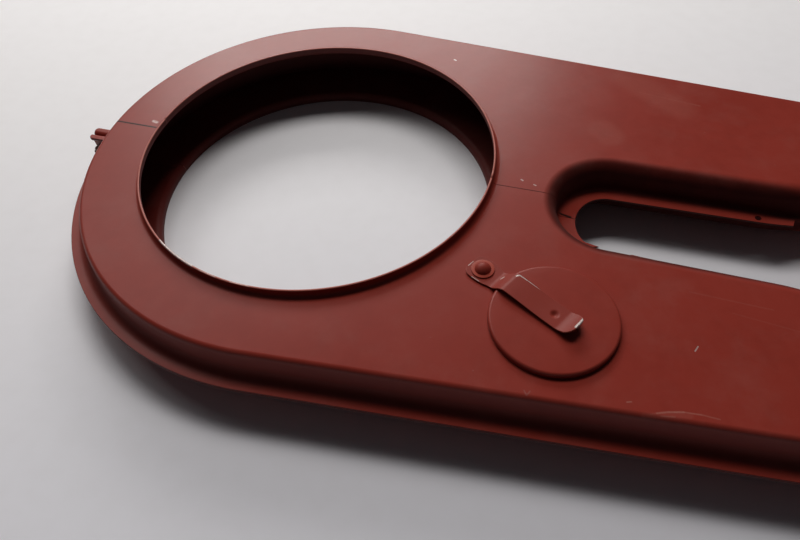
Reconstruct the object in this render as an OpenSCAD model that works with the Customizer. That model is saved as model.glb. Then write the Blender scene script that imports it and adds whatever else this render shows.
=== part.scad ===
// Full chain case for a motorcycle, lying on its rear face.
// The case is split into an upper half (+Y) and a lower half (-Y). Each half is a front and a rear
// pressing that meet at an outward seam flange. Z = 0 is the rim of the rear lip, the hub axis is Z,
// and the arms run towards +X.

/* [Case] */
// Radius of the round hub opening, the same in the front and the rear
opening_r = 92; // [85:0.5:96]
// Width of the ring from the hub opening to the outer wall
ring_w = 32; // [28:0.5:36]
// Height of each pressing, from the seam to its flat face
pressing_h = 15.5; // [14:0.5:22]
// Thickness of the sheet
sheet = 1; // [0.8:0.1:1.4]
// Distance from the hub axis to the front end of the arms
arm_x = 400; // [340:1:440]
// Angle at which each outer edge closes towards the front
taper = 5; // [4:0.25:6]
// Gap left between the upper and the lower half
split_gap = 0.3; // [0.2:0.05:0.6]

/* [Edges] */
// Height of the lip round the hub opening
lip_h = 4; // [3:0.25:6]
// Fillet at the foot of the lip, on its outside
lip_fillet = 2.4; // [1:0.1:2.8]
// Roll between the flat face and the outer wall
edge_roll = 2.5; // [1.5:0.1:4]
// Cove between the outer wall and the seam flange
edge_cove = 5; // [3:0.25:6]
// How far each wall leans out on its way to the seam
draft = 0.6; // [0.2:0.1:1.2]
// How far the seam flange stands out from the outer wall
flange_w = 9; // [8:0.25:14]

/* [Slot] */
// Centre of the slot's round end
slot_x = 152; // [148:0.5:160]
// Half width of the slot at its rolled edge
slot_r = 31.5; // [29:0.25:34]
// Angle at which each side of the slot opens towards the front
slot_spread = 1; // [0.5:0.25:1.5]
// Roll between the flat face and the slot's wall
slot_roll = 5; // [3:0.25:6]
// Cove between the slot's wall and its flange
slot_cove = 3.5; // [2:0.25:4]
// Width of the flange that rims the slot, measured from the rolled edge
slot_rim = 13.5; // [12:0.25:15]
// Where the slot starts to flare
flare_x = 231; // [215:1:245]
// Length of the flare along the arm
flare_l = 31; // [20:1:40]
// How much the flare widens the slot on each side
flare_w = 5.5; // [3:0.25:7]
// How much the slot's rim narrows past the flare
rim_step = 2; // [1:0.25:3]

/* [Inspection lid] */
// Radius of the lid
lid_r = 27; // [24:0.5:28]
// Height of the lid
lid_h = 3; // [2.6:0.1:4]
// Sheet of the lid
lid_sheet = 1; // [0.8:0.1:1.2]
// Rounding of the lid's edge
lid_edge = 1.6; // [1.2:0.1:2]
// Distance from the foot of the lip to the lid's edge
lid_gap = 30.7; // [28:0.1:33]
// Direction of the lid from the hub axis, below the X axis
lid_angle = 29.1; // [27:0.1:31]
// Clearance between the lid and the collar of its hole
lid_fit = 1; // [0.4:0.1:1.5]

/* [Spring clip] */
// Distance from the centre of the clip's rivet to the lid's edge
rivet_gap = 11.8; // [11:0.1:14]
// Length of the clip past the lid's centre
clip_tail = 11; // [8:0.5:14]
// Width of the leaf
clip_w = 11; // [9:0.25:13]
// Radius of the eye round the rivet
eye_r = 6.3; // [5.8:0.1:7]
// Thickness of the leaf
clip_t = 0.8; // [0.6:0.1:1]
// Rise of the tip
tip_rise = 3.6; // [2:0.2:5]
// Clearance between the clip and what it slides over
clip_gap = 0.3; // [0.2:0.05:0.5]

/* [Rivet] */
// Radius of the rivet's shank
rivet_r = 2.4; // [2:0.1:3]
// Radius of the rivet's domed head
rivet_head_r = 4.1; // [3.6:0.1:4.4]
// Height of the domed head
rivet_head_h = 2.6; // [2:0.1:3]
// Radius of the washer under the head
rivet_washer_r = 5.2; // [4.8:0.1:5.6]
// Thickness of the washer under the head
rivet_washer_t = 0.5; // [0.4:0.1:0.8]
// Running clearance between the shank and the clip's eye
rivet_run = 0.06; // [0.04:0.01:0.1]

/* [Clamp] */
// Length of each clamp ear beyond the seam flange
ear_l = 11.5; // [11:0.5:14]
// Thickness of the ears
ear_t = 2; // [1.6:0.1:2.6]
// Width of an ear across the flange
ear_w = 7; // [6:0.25:9]
// Depth of the ears below the seam flange
ear_drop = 12.5; // [12:0.5:16]
// Radius of the clamp screw
screw_r = 2.5; // [2:0.25:3]
// Width across flats of the screw's head and its nut
hex_af = 8; // [7:0.5:8]
// Height of the screw's head
head_h = 3.5; // [3:0.25:4]
// Height of the nut
nut_h = 4; // [3:0.25:5]

/* [Joining strips and mounts] */
// Thickness of the tongues under the web
tongue_t = 1.5; // [1:0.25:2]
// Half length of each tongue across the split
tongue_l = 13; // [10:0.5:15]
// Distance of the mounting holes from the front end of the arms
mount_inset = 26; // [20:1:32]
// Spacing of the mounting holes across the arms
mount_pitch = 122; // [118:1:128]
// Radius of the mounting holes
mount_r = 3.3; // [2.6:0.1:4]
// Radius of the pads round the mounting holes
pad_r = 9; // [8:0.5:11]
// Thickness of the pads
pad_t = 1.5; // [1:0.25:2]

/* [Hidden] */
$fn = 96;

// Heights, from the rear lip's rim
rear_face_z = lip_h;
seam_z = rear_face_z + pressing_h;
front_face_z = seam_z + pressing_h;
front_inside_z = front_face_z - sheet;
rear_inside_z = rear_face_z + sheet;
flange_top_z = seam_z + sheet;

// Angle next to a whose cosine and sine are short decimals. A turn by it keeps every height exact, so
// that neighbouring legs of a swept edge meet without a step.
function exact_angle(a) = let (
    step = 1e-6,
    first = round(cos(a) / step) - 20,
    sines = [for (i = [0:40]) sqrt(1 - pow((first + i) * step, 2))],
    fine = sin(abs(a)) < 0.1 ? step / 10 : step,
    misses = [for (s = sines) abs(s - round(s / fine) * fine)],
    best = search(min(misses), misses)[0]
) sign(a) * atan2(sines[best], (first + best) * step);

// Directions of the edges in plan. The slot's edge turns at each end of its flare, by twice the angle
// given here.
edge_angle = exact_angle(taper);
spread_angle = exact_angle(slot_spread);
flare_turn = exact_angle((atan2(flare_w, flare_l) - spread_angle) / 2);
flare_angle = spread_angle + 2 * flare_turn;
slot_turns = [flare_turn, -exact_angle(flare_angle / 2)];

// Plan of the case
wall_r = opening_r + ring_w;
edge_start_r = wall_r - edge_roll;
flange_r = wall_r + flange_w;
lip_foot_r = opening_r + sheet + lip_fillet;
half_split = split_gap / 2;
overrun = 12;
big = 900;

// Lengths of the legs of the slot's edge, and how far its last corners lie from the X axis
leg_runs = [
    (flare_x - slot_x) / cos(spread_angle), flare_l / cos(flare_angle), arm_x - flare_x - flare_l
];
flare_y = slot_r * cos(spread_angle) + leg_runs[0] * sin(spread_angle);
front_y = flare_y + leg_runs[1] * sin(flare_angle);

// Step of the split line at the rear lip: the lower half's lip runs past the split
step_y = 3.4;
step_x = -lip_foot_r - 0.6;

// Small holes in the slot's rim
rim_hole_x = 223;
rim_hole_r = 2;
rim_hole_inset = 2.6;

// Lid and clip, both on one line from the hub axis
lid_reach = lip_foot_r + lid_gap + lid_r;
lid_x = lid_reach * cos(lid_angle);
lid_y = -lid_reach * sin(lid_angle);
clip_reach = lid_r + rivet_gap;
rivet_x = (lid_reach - clip_reach) * cos(lid_angle);
rivet_y = -(lid_reach - clip_reach) * sin(lid_angle);
lid_top_z = front_face_z + lid_h;
clip_z = front_face_z + clip_gap;
nub_r = 2.2;
nub_depth = 0.9;
leaf_z = lid_top_z + clip_gap + nub_depth;
bend_start = rivet_washer_r + 0.8;
bend_end = rivet_gap + lid_edge;
leaf_drop = 1.1;
tip_start = clip_reach + 4;

// Clamp
fold_r = ear_t + 0.5;
ear_start_x = -flange_r - 0.5;
ear_end_x = -flange_r - ear_l;
ear_seat_x = -flange_r + 3;
ear_low_z = seam_z - ear_drop;
screw_x = (ear_start_x + ear_end_x) / 2 - 0.6;
screw_z = seam_z - ear_drop / 2 - 0.4;
washer_t = 1;
screw_tail = 2;

function arc(cx, cy, r, a0, a1, n) =
    [for (i = [0:n]) let (a = a0 + (a1 - a0) * i / n) [cx + r * cos(a), cy + r * sin(a)]];

// Section of a rolled edge, its wall and its flange. The first value is the distance past the edge
// of the flat face, the second the height above the seam.
function wall_section(roll, cove, rim) = let (
    cove_u = roll + draft + cove,
    cove_h = sheet + cove,
    roll_h = pressing_h - roll
) concat(
    arc(0, roll_h, roll, 90, 0, 6),
    arc(cove_u, cove_h, cove, 180, 270, 6),
    [[rim, sheet], [rim, 0]],
    arc(cove_u, cove_h, cove + sheet, 270, 180, 6),
    arc(0, roll_h, roll - sheet, 0, 90, 6)
);

function outer_section() = wall_section(edge_roll, edge_cove, edge_roll + flange_w);
function slot_section() = wall_section(slot_roll, slot_cove, slot_rim);

// Section of the turned lip, radius and height above the seam
function lip_section() = let (fillet_h = pressing_h + lip_fillet) concat(
    [[opening_r + sheet, pressing_h + lip_h], [opening_r, pressing_h + lip_h]],
    arc(lip_foot_r, fillet_h, lip_fillet + sheet, 180, 270, 6),
    arc(lip_foot_r, fillet_h, lip_fillet, 270, 180, 6)
);

// A section carried along X from the origin, its flat face on the +Y side
module straight_sweep(run, r, section, side) {
    rotate([90, 0, 90])
        linear_extrude(run)
            polygon([for (p = section) [r + side * p[0], p[1]]]);
}

// A section turned about Z, at radius r, growing outwards (side = 1) or inwards (side = -1)
module arc_sweep(r, section, side, from, span) {
    rotate_extrude(start = from, angle = span)
        polygon([for (p = section) [r + side * p[0], p[1]]]);
}

// Round the hub opening and along the outer edge to the front
module outer_edge(past) {
    rotate([0, 0, -edge_angle]) {
        arc_sweep(edge_start_r, outer_section(), 1, 90, 90 + edge_angle + past);
        straight_sweep((arm_x + overrun) / cos(taper), edge_start_r, outer_section(), 1);
    }
}

// Start of a straight leg of the slot's edge, which runs along X: leg 0 from the round end, 1 along
// the flare, 2 to the front of the arm. A leg starts where the one before it turns.
module leg_frame(leg) {
    if (leg == 0)
        translate([slot_x, 0, 0]) rotate([0, 0, spread_angle]) translate([0, slot_r, 0]) children();
    else
        mitre_frame(leg - 1) rotate([0, 0, slot_turns[leg - 1]]) children();
}

// Mitre at the end of a leg, half way round the turn
module mitre_frame(leg) {
    leg_frame(leg) translate([leg_runs[leg], 0, 0]) rotate([0, 0, slot_turns[leg]]) children();
}

// The space before a mitre (side = 0) or past it (side = 1)
module mitre_side(leg, side) {
    reach = 3 * slot_r;
    mitre_frame(leg)
        translate([(side - 1) * 2 * reach, -reach, -1])
            cube([2 * reach, 2 * reach, pressing_h + 2]);
}

module slot_leg(leg) {
    back = leg > 0 ? overrun : 0;
    leg_frame(leg)
        translate([-back, 0, 0]) straight_sweep(back + leg_runs[leg] + overrun, 0, slot_section(), -1);
}

// Round the slot's end, along the slot, out along its flare and straight on to the front
module slot_edge(past) {
    translate([slot_x, 0, 0])
        rotate([0, 0, spread_angle])
            arc_sweep(slot_r, slot_section(), -1, 90, 90 - spread_angle + past);
    intersection() {
        slot_leg(0);
        mitre_side(0, 0);
    }
    intersection() {
        slot_leg(1);
        mitre_side(0, 1);
        mitre_side(1, 0);
    }
    intersection() {
        slot_leg(2);
        mitre_side(1, 1);
    }
}

// Strip below the X axis of the frame it is drawn in
module strip(run, depth) {
    translate([0, -depth]) square([run, depth]);
}

// Everything inside the slot's rolled edge, for the half on the +Y side
module slot_void() {
    run = arm_x - slot_x;
    depth = 4 * slot_r;
    translate([slot_x, 0, 0]) circle(r = slot_r);
    leg_frame(0) strip(run, depth);
    intersection() {
        leg_frame(1) translate([-overrun, 0, 0]) strip(run, depth);
        leg_frame(2) translate([-run, 0, 0]) strip(2 * run, depth);
    }
}

// Flat face of a pressing, for the half on the +Y side
module face_plan() {
    difference() {
        rotate([0, 0, -edge_angle]) {
            circle(r = edge_start_r);
            translate([0, edge_start_r]) strip((arm_x + overrun) / cos(taper), edge_start_r + overrun);
        }
        circle(r = lip_foot_r);
        slot_void();
    }
}

// Plan of the half that lies on the +Y side, with the split line's step at the rear lip
module upper_zone(gap) {
    polygon([
        [-big, gap], [step_x - gap, gap], [step_x - gap, step_y + gap],
        [-opening_r + overrun, step_y + gap], [-opening_r + overrun, gap],
        [arm_x, gap], [arm_x, big], [-big, big]
    ]);
}

module half_zone(upper) {
    translate([0, 0, -overrun])
        linear_extrude(pressing_h + lip_h + 2 * overrun)
            if (upper) {
                upper_zone(half_split);
            } else {
                difference() {
                    translate([-big, -big]) square([big + arm_x, 2 * big]);
                    upper_zone(-half_split);
                }
            }
}

// Half of a pressing, with its seam face at Z = 0
module half_pressing(upper) {
    flip = upper ? 0 : 1;
    past = 4;
    intersection() {
        mirror([0, flip, 0]) {
            translate([0, 0, pressing_h - sheet]) linear_extrude(sheet) face_plan();
            arc_sweep(0, lip_section(), 1, -past, 180 + 2 * past);
            outer_edge(past);
            slot_edge(past);
        }
        half_zone(upper);
    }
}

// The slot's rim is cut back a little past the flare, and has a small hole
module rim_cut(upper) {
    side = upper ? 1 : -1;
    low = front_y - slot_rim;
    translate([0, 0, -1])
        linear_extrude(sheet + 2) {
            polygon([
                [flare_x + 2, 0], [flare_x + 2 + 4 * rim_step, side * (low + rim_step)],
                [arm_x + overrun, side * (low + rim_step)], [arm_x + overrun, 0]
            ]);
            translate([rim_hole_x, side * (flare_y - slot_rim + rim_hole_inset)])
                circle(r = rim_hole_r, $fn = 32);
        }
}

module lid_frame() translate([lid_x, lid_y, front_face_z]) children();
module rivet_frame(z) translate([rivet_x, rivet_y, z]) children();

// Upturned collar of the inspection hole, heights above the front face
collar_r = lid_r - lid_sheet - lid_fit;
collar_h = lid_h - lid_sheet - clip_gap;
collar_fillet = lid_fit / 2;

module lid_collar() {
    foot_r = collar_r + collar_fillet;
    rotate_extrude()
        polygon(concat(
            [[collar_r, collar_h], [collar_r - sheet, collar_h]],
            arc(foot_r, collar_fillet, collar_fillet + sheet, 180, 270, 5),
            arc(foot_r, collar_fillet, collar_fillet, 270, 180, 5)
        ));
}

module front_half(upper) {
    translate([0, 0, seam_z])
        difference() {
            half_pressing(upper);
            rim_cut(upper);
        }
}

module rear_half(upper) {
    translate([0, 0, seam_z])
        mirror([0, 0, 1])
            difference() {
                half_pressing(upper);
                rim_cut(upper);
                mount_hole(upper);
            }
}

module mount_hole(upper) {
    side = upper ? 1 : -1;
    translate([arm_x - mount_inset, side * mount_pitch / 2, pressing_h - sheet - 1])
        cylinder(r = mount_r, h = sheet + 2, $fn = 48);
}

module upper_front_shell() color("#7a2f27") front_half(true);

module upper_rear_shell() color("#702a23") rear_half(true);

module lower_front_shell() {
    color("#7a2f27") {
        difference() {
            front_half(false);
            lid_frame()
                translate([0, 0, -2 * sheet])
                    cylinder(r = collar_r + collar_fillet, h = 3 * sheet);
            rivet_frame(front_inside_z - 1) cylinder(r = rivet_r, h = sheet + 2, $fn = 48);
        }
        lid_frame() lid_collar();
    }
}

module lower_rear_shell() color("#702a23") rear_half(false);

// Shallow cap with a rounded edge that fits over the collar
module inspection_lid() {
    color("#80332a")
        lid_frame()
            rotate_extrude()
                polygon(concat(
                    [[0, lid_h]],
                    arc(lid_r - lid_edge, lid_h - lid_edge, lid_edge, 90, 0, 6),
                    [[lid_r, 0], [lid_r - lid_sheet, 0]],
                    arc(lid_r - lid_edge, lid_h - lid_edge, lid_edge - lid_sheet, 0, 90, 6),
                    [[0, lid_h - lid_sheet]]
                ));
}

function ease(t) = let (c = min(max(t, 0), 1)) (1 - cos(180 * c)) / 2;

// Height of the leaf's lower face at distance s from the rivet
function leaf_height(s) =
    clip_z
    + (leaf_z + leaf_drop - clip_z) * ease((s - bend_start) / (bend_end - bend_start))
    - leaf_drop * ease((s - bend_end) / (clip_reach - bend_end))
    + tip_rise * pow(max(s - tip_start, 0) / (clip_reach + clip_tail - tip_start), 1.6);

module leaf_plan() {
    tip = clip_reach + clip_tail;
    corner = clip_w * 0.36;
    difference() {
        union() {
            circle(r = eye_r);
            translate([0, -clip_w / 2]) square([tip - corner, clip_w]);
            translate([tip - corner - 1, corner - clip_w / 2]) square([corner + 1, clip_w - 2 * corner]);
            for (side = [-1, 1])
                translate([tip - corner, side * (clip_w / 2 - corner)]) circle(r = corner, $fn = 48);
        }
        circle(r = rivet_r + rivet_run, $fn = 48);
    }
}

module leaf_profile() {
    step = 0.8;
    first = -eye_r - 1;
    count = floor((clip_reach + clip_tail + 1 - first) / step);
    low = [for (i = [0:count]) let (s = first + i * step) [s, leaf_height(s)]];
    high = [for (i = [count:-1:0]) let (s = first + i * step) [s, leaf_height(s) + clip_t]];
    polygon(concat(low, high));
}

// Leaf spring with a Z bend over the lid's edge, a pressed dimple and a turned-up tip
module spring_clip() {
    color("#8a3a30")
        translate([rivet_x, rivet_y, 0])
            rotate([0, 0, -lid_angle])
                difference() {
                    union() {
                        intersection() {
                            translate([0, eye_r + 1, 0])
                                rotate([90, 0, 0]) linear_extrude(2 * eye_r + 2) leaf_profile();
                            translate([0, 0, clip_z - 1]) linear_extrude(leaf_z + tip_rise + 2 * clip_t - clip_z + 1) leaf_plan();
                        }
                        translate([clip_reach, 0, leaf_z - nub_depth])
                            cylinder(r1 = nub_r * 0.55, r2 = nub_r, h = nub_depth + clip_t / 2, $fn = 48);
                    }
                    translate([clip_reach, 0, leaf_z - nub_depth + clip_t])
                        cylinder(r1 = nub_r * 0.4, r2 = nub_r * 0.85, h = nub_depth + 1, $fn = 48);
                }
}

rivet_seat_z = clip_z + clip_t + clip_gap / 2;
rivet_top_z = rivet_seat_z + rivet_washer_t;
tail_h = 1.2;
backing_t = 1;
backing_r = eye_r;

// Domed head, straight shank and flat formed tail
module clip_rivet() {
    dome_r = (pow(rivet_head_r, 2) + pow(rivet_head_h, 2)) / (2 * rivet_head_h);
    tail_z = front_inside_z - backing_t - tail_h;
    color("#6f2b24")
        rivet_frame(0) {
            intersection() {
                translate([0, 0, rivet_top_z + rivet_head_h - dome_r]) sphere(r = dome_r);
                translate([0, 0, rivet_top_z]) cylinder(r = rivet_head_r + 1, h = rivet_head_h + 1);
            }
            translate([0, 0, tail_z]) cylinder(r = rivet_r, h = rivet_top_z - tail_z + 0.5, $fn = 48);
            translate([0, 0, tail_z]) cylinder(r = rivet_r + 1.2, h = tail_h, $fn = 48);
        }
}

module ring(outer, inner, h) {
    difference() {
        cylinder(r = outer, h = h, $fn = 64);
        translate([0, 0, -1]) cylinder(r = inner, h = h + 2, $fn = 48);
    }
}

module rivet_washer() color("silver") rivet_frame(rivet_seat_z) ring(rivet_washer_r, rivet_r, rivet_washer_t);

module backing_washer() {
    color("#6f2b24")
        rivet_frame(front_inside_z - backing_t) ring(backing_r, rivet_r, backing_t);
}

// Folded ear: a tab on the seam flange and a clamping face that hangs down at the split
module clamp_ear(upper) {
    top_z = flange_top_z + ear_t;
    slant = 4;
    mirror([0, upper ? 0 : 1, 0])
        difference() {
            union() {
                translate([ear_end_x, half_split, flange_top_z])
                    cube([ear_seat_x - ear_end_x, ear_w - half_split, ear_t]);
                translate([ear_end_x, half_split, ear_low_z])
                    cube([ear_start_x - ear_end_x, ear_t, top_z - ear_low_z]);
            }
            translate([ear_end_x - 1, half_split, top_z - fold_r])
                rotate([90, 0, 90])
                    linear_extrude(ear_seat_x - ear_end_x + 2)
                        difference() {
                            translate([-1, 0]) square([fold_r + 1, fold_r + 1]);
                            translate([fold_r, 0]) circle(r = fold_r);
                            translate([fold_r, -1]) square([fold_r, fold_r + 3]);
                        }
            translate([screw_x, 0, screw_z])
                rotate([-90, 0, 0]) cylinder(r = screw_r + 0.2, h = 3 * ear_w, $fn = 48);
            translate([0, 3 * ear_w, 0])
                rotate([90, 0, 0])
                    linear_extrude(3 * ear_w)
                        polygon([
                            [ear_end_x - 1, ear_low_z - 1], [ear_end_x + slant, ear_low_z - 1],
                            [ear_end_x + slant - 1, ear_low_z], [ear_end_x, ear_low_z + slant],
                            [ear_end_x - 1, ear_low_z + slant]
                        ]);
        }
}

module upper_clamp_ear() color("#74302a") clamp_ear(true);
module lower_clamp_ear() color("#74302a") clamp_ear(false);

// Y grows from the screw's head to its tail
module screw_frame(y) translate([screw_x, y, screw_z]) rotate([-90, 0, 0]) children();

clamp_y = half_split + ear_t;

module clamp_screw() {
    head_y = -clamp_y - washer_t;
    color("gray") {
        screw_frame(head_y - head_h) cylinder(d = hex_af / cos(30), h = head_h, $fn = 6);
        screw_frame(head_y - 1)
            cylinder(r = screw_r, h = 1 + washer_t + 2 * clamp_y + nut_h + screw_tail, $fn = 48);
    }
}

module clamp_washer() {
    color("silver") screw_frame(-clamp_y - washer_t) ring(hex_af / 2 + 0.2, screw_r, washer_t);
}

module clamp_nut() {
    color("gray")
        screw_frame(clamp_y)
            difference() {
                cylinder(d = hex_af / cos(30), h = nut_h, $fn = 6);
                translate([0, 0, -1]) cylinder(r = screw_r, h = nut_h + 2, $fn = 48);
            }
}

// Strip with rounded ends that bridges the split under the web
module web_tongue(z) {
    web_start = lip_foot_r + 3;
    web_end = slot_x - slot_r - 3;
    mid = (web_start + web_end) / 2;
    half = (web_end - web_start) / 2;
    translate([mid, 0, z])
        linear_extrude(tongue_t)
            union() {
                translate([-half, -tongue_l + half]) square([2 * half, 2 * (tongue_l - half)]);
                for (side = [-1, 1]) translate([0, side * (tongue_l - half)]) circle(r = half);
            }
}

module front_web_tongue() color("#68302b") web_tongue(front_inside_z - tongue_t);
module rear_web_tongue() color("#68302b") web_tongue(rear_inside_z);

module mount_pad(side) {
    translate([arm_x - mount_inset, side * mount_pitch / 2, rear_inside_z]) ring(pad_r, mount_r, pad_t);
}

module upper_mount_pad() color("#68302b") mount_pad(1);
module lower_mount_pad() color("#68302b") mount_pad(-1);

upper_front_shell();
upper_rear_shell();
lower_front_shell();
lower_rear_shell();
inspection_lid();
spring_clip();
clip_rivet();
rivet_washer();
backing_washer();
upper_clamp_ear();
lower_clamp_ear();
clamp_screw();
clamp_washer();
clamp_nut();
front_web_tongue();
rear_web_tongue();
upper_mount_pad();
lower_mount_pad();
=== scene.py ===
"""Looks of a motorcycle's full chain case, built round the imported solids.

The case lies on its rear face on a pale table. Each pressing is made again as one smooth sheet with rolled
edges and rounded rims, and the lid, the spring clip, the rivet and the clamp are made beside it. Sizes are
in millimetres until a mesh is written, in the frame of the solids: Z is the hub axis, X runs to the front.
"""

from __future__ import annotations

import logging
import math
from dataclasses import dataclass, field
from enum import Enum
from typing import Callable, Iterable, Sequence

import bpy
from mathutils import Matrix, Vector
from mathutils.geometry import delaunay_2d_cdt


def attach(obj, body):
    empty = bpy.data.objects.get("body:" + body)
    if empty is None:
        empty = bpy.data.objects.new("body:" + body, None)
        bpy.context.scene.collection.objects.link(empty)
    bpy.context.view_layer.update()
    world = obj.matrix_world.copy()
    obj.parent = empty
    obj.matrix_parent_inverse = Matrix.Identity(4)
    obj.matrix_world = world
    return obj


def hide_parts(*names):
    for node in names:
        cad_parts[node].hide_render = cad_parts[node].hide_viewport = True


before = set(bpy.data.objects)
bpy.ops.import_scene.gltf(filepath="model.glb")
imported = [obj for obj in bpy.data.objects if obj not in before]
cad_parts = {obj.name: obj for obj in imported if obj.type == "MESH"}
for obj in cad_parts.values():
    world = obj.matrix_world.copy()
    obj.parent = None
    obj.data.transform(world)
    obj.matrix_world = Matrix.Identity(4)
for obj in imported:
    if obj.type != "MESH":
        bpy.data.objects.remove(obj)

LOG = logging.getLogger("chain_case")
MM = 0.001
UP = Vector((0.0, 0.0, 1.0))
Colour = tuple[float, float, float]
Point2 = tuple[float, float]
Ring = tuple[int, ...]
Socket = bpy.types.NodeSocket
Material = bpy.types.Material
WELD_PER_MM = 500  # points that round to the same fraction of a millimetre are one point
RIM_PROFILE = ((0.0, 0.0), (0.1, 0.62), (0.3, 0.94), (0.5, 1.0), (0.7, 0.94), (0.9, 0.62), (1.0, 0.0))
RIM_TURN = 2.2  # how strongly a rim's normals turn with its depth


def srgb(red: int, green: int, blue: int) -> Colour:
    """Turns a colour as it looks on screen, 0 to 255, into the linear values that shaders take.

    Args:
        red: Red, 0 to 255.
        green: Green, 0 to 255.
        blue: Blue, 0 to 255.

    Returns:
        The linear colour.
    """
    def one(value: int) -> float:
        share = value / 255
        return share / 12.92 if share <= 0.04045 else ((share + 0.055) / 1.055) ** 2.4
    return one(red), one(green), one(blue)


# ---- plan

class Half(Enum):
    """Which half of the case a pressing belongs to; the value is the sign of its Y."""

    UPPER = 1
    LOWER = -1


class Face(Enum):
    """Which face of the case a pressing makes; the value is the sign of its height from the seam."""

    FRONT = 1
    REAR = -1


@dataclass(frozen=True)
class CasePlan:
    """Sizes of the case as the solids have them, in millimetres and degrees."""

    opening_r: float = 92.0
    wall_r: float = 124.0
    pressing_h: float = 15.5
    sheet: float = 1.0
    arm_x: float = 400.0
    taper: float = 5.012
    half_split: float = 0.15
    lip_h: float = 4.0
    lip_fillet: float = 2.4
    edge_roll: float = 2.5
    edge_cove: float = 5.0
    draft: float = 0.6
    flange_w: float = 9.0
    slot_x: float = 152.0
    slot_r: float = 31.5
    slot_spread: float = 1.05
    slot_roll: float = 5.0
    slot_cove: float = 3.5
    slot_rim: float = 13.5
    flare_x: float = 231.0
    flare_l: float = 31.0
    flare_w: float = 5.5
    rim_step: float = 2.0
    step_y: float = 3.4
    rim_hole_x: float = 223.0
    rim_hole_r: float = 2.0
    rim_hole_inset: float = 2.6
    mount_x: float = 374.0
    mount_y: float = 61.0
    mount_r: float = 3.3
    lid_reach: float = 153.1
    rivet_reach: float = 114.3
    rivet_r: float = 2.4
    clip_angle: float = 29.1
    screw_x: float = -139.6
    screw_z: float = 12.85

    @property
    def seam_z(self) -> float:
        """Height of the seam between the front and the rear pressing."""
        return self.lip_h + self.pressing_h

    @property
    def front_z(self) -> float:
        """Height of the flat front face."""
        return self.seam_z + self.pressing_h

    @property
    def edge_r(self) -> float:
        """Radius at which the flat face starts to roll down to the outer wall."""
        return self.wall_r - self.edge_roll

    @property
    def lip_foot_r(self) -> float:
        """Radius at which the flat face starts to turn up to the lip."""
        return self.opening_r + self.sheet + self.lip_fillet


PLAN = CasePlan()


@dataclass(frozen=True)
class Station:
    """A place along an edge: where the flat face ends there, which way the section runs, and its normal."""

    base: Vector
    across: Vector
    normal: Vector


@dataclass(frozen=True)
class SectionPoint:
    """A point of a pressed section: distance past the flat face, height, and the normal in both."""

    past: float
    height: float
    normal_past: float
    normal_height: float


def polar(radius: float, degrees: float) -> Vector:
    """Gives the plan vector of a length and a direction.

    Args:
        radius: Length of the vector.
        degrees: Direction from the X axis.

    Returns:
        The vector, with no height.
    """
    turn = math.radians(degrees)
    return Vector((radius * math.cos(turn), radius * math.sin(turn), 0.0))


def spread_between(first: float, last: float, step: float) -> list[float]:
    """Gives evenly spread values from first to last, no further apart than step.

    Args:
        first: First value.
        last: Last value.
        step: Greatest spacing.

    Returns:
        The values, both ends among them.
    """
    count = max(1, math.ceil(abs(last - first) / step))
    return [first + (last - first) * i / count for i in range(count + 1)]


def rolled_section(roll: float, cove: float) -> list[SectionPoint]:
    """Makes the section of a rolled edge, its leaning wall and the cove at its foot.

    Args:
        roll: Outer radius of the roll at the flat face.
        cove: Radius of the cove at the flange.

    Returns:
        The points from the flat face to the start of the flange.
    """
    plan = PLAN
    lean = math.degrees(math.atan2(plan.draft, plan.pressing_h - plan.sheet - roll - cove))
    points = []
    for angle in spread_between(90, lean, 9):
        turn = math.radians(angle)
        points.append(SectionPoint(roll * math.cos(turn), plan.pressing_h - roll + roll * math.sin(turn),
                                   math.cos(turn), math.sin(turn)))
    for angle in spread_between(180 + lean, 270, 10):
        turn = math.radians(angle)
        points.append(SectionPoint(roll + plan.draft + cove + cove * math.cos(turn),
                                   plan.sheet + cove + cove * math.sin(turn),
                                   -math.cos(turn), -math.sin(turn)))
    return points


def turned_up_section(wall_r: float, fillet: float, rise: float, foot: float) -> list[SectionPoint]:
    """Makes the section of a lip that turns up at a round opening, as radius and height.

    Args:
        wall_r: Outer radius of the lip's wall.
        fillet: Radius of the fillet at its foot.
        rise: Height of the lip above the flat face.
        foot: Height of the flat face.

    Returns:
        The points from the flat face up to the rim.
    """
    points = []
    for angle in spread_between(270, 180, 11):
        turn = math.radians(angle)
        points.append(SectionPoint(wall_r + fillet + fillet * math.cos(turn),
                                   foot + fillet + fillet * math.sin(turn),
                                   -math.cos(turn), -math.sin(turn)))
    points.append(SectionPoint(wall_r, foot + rise, 1.0, 0.0))
    return points


# ---- sheet

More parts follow.
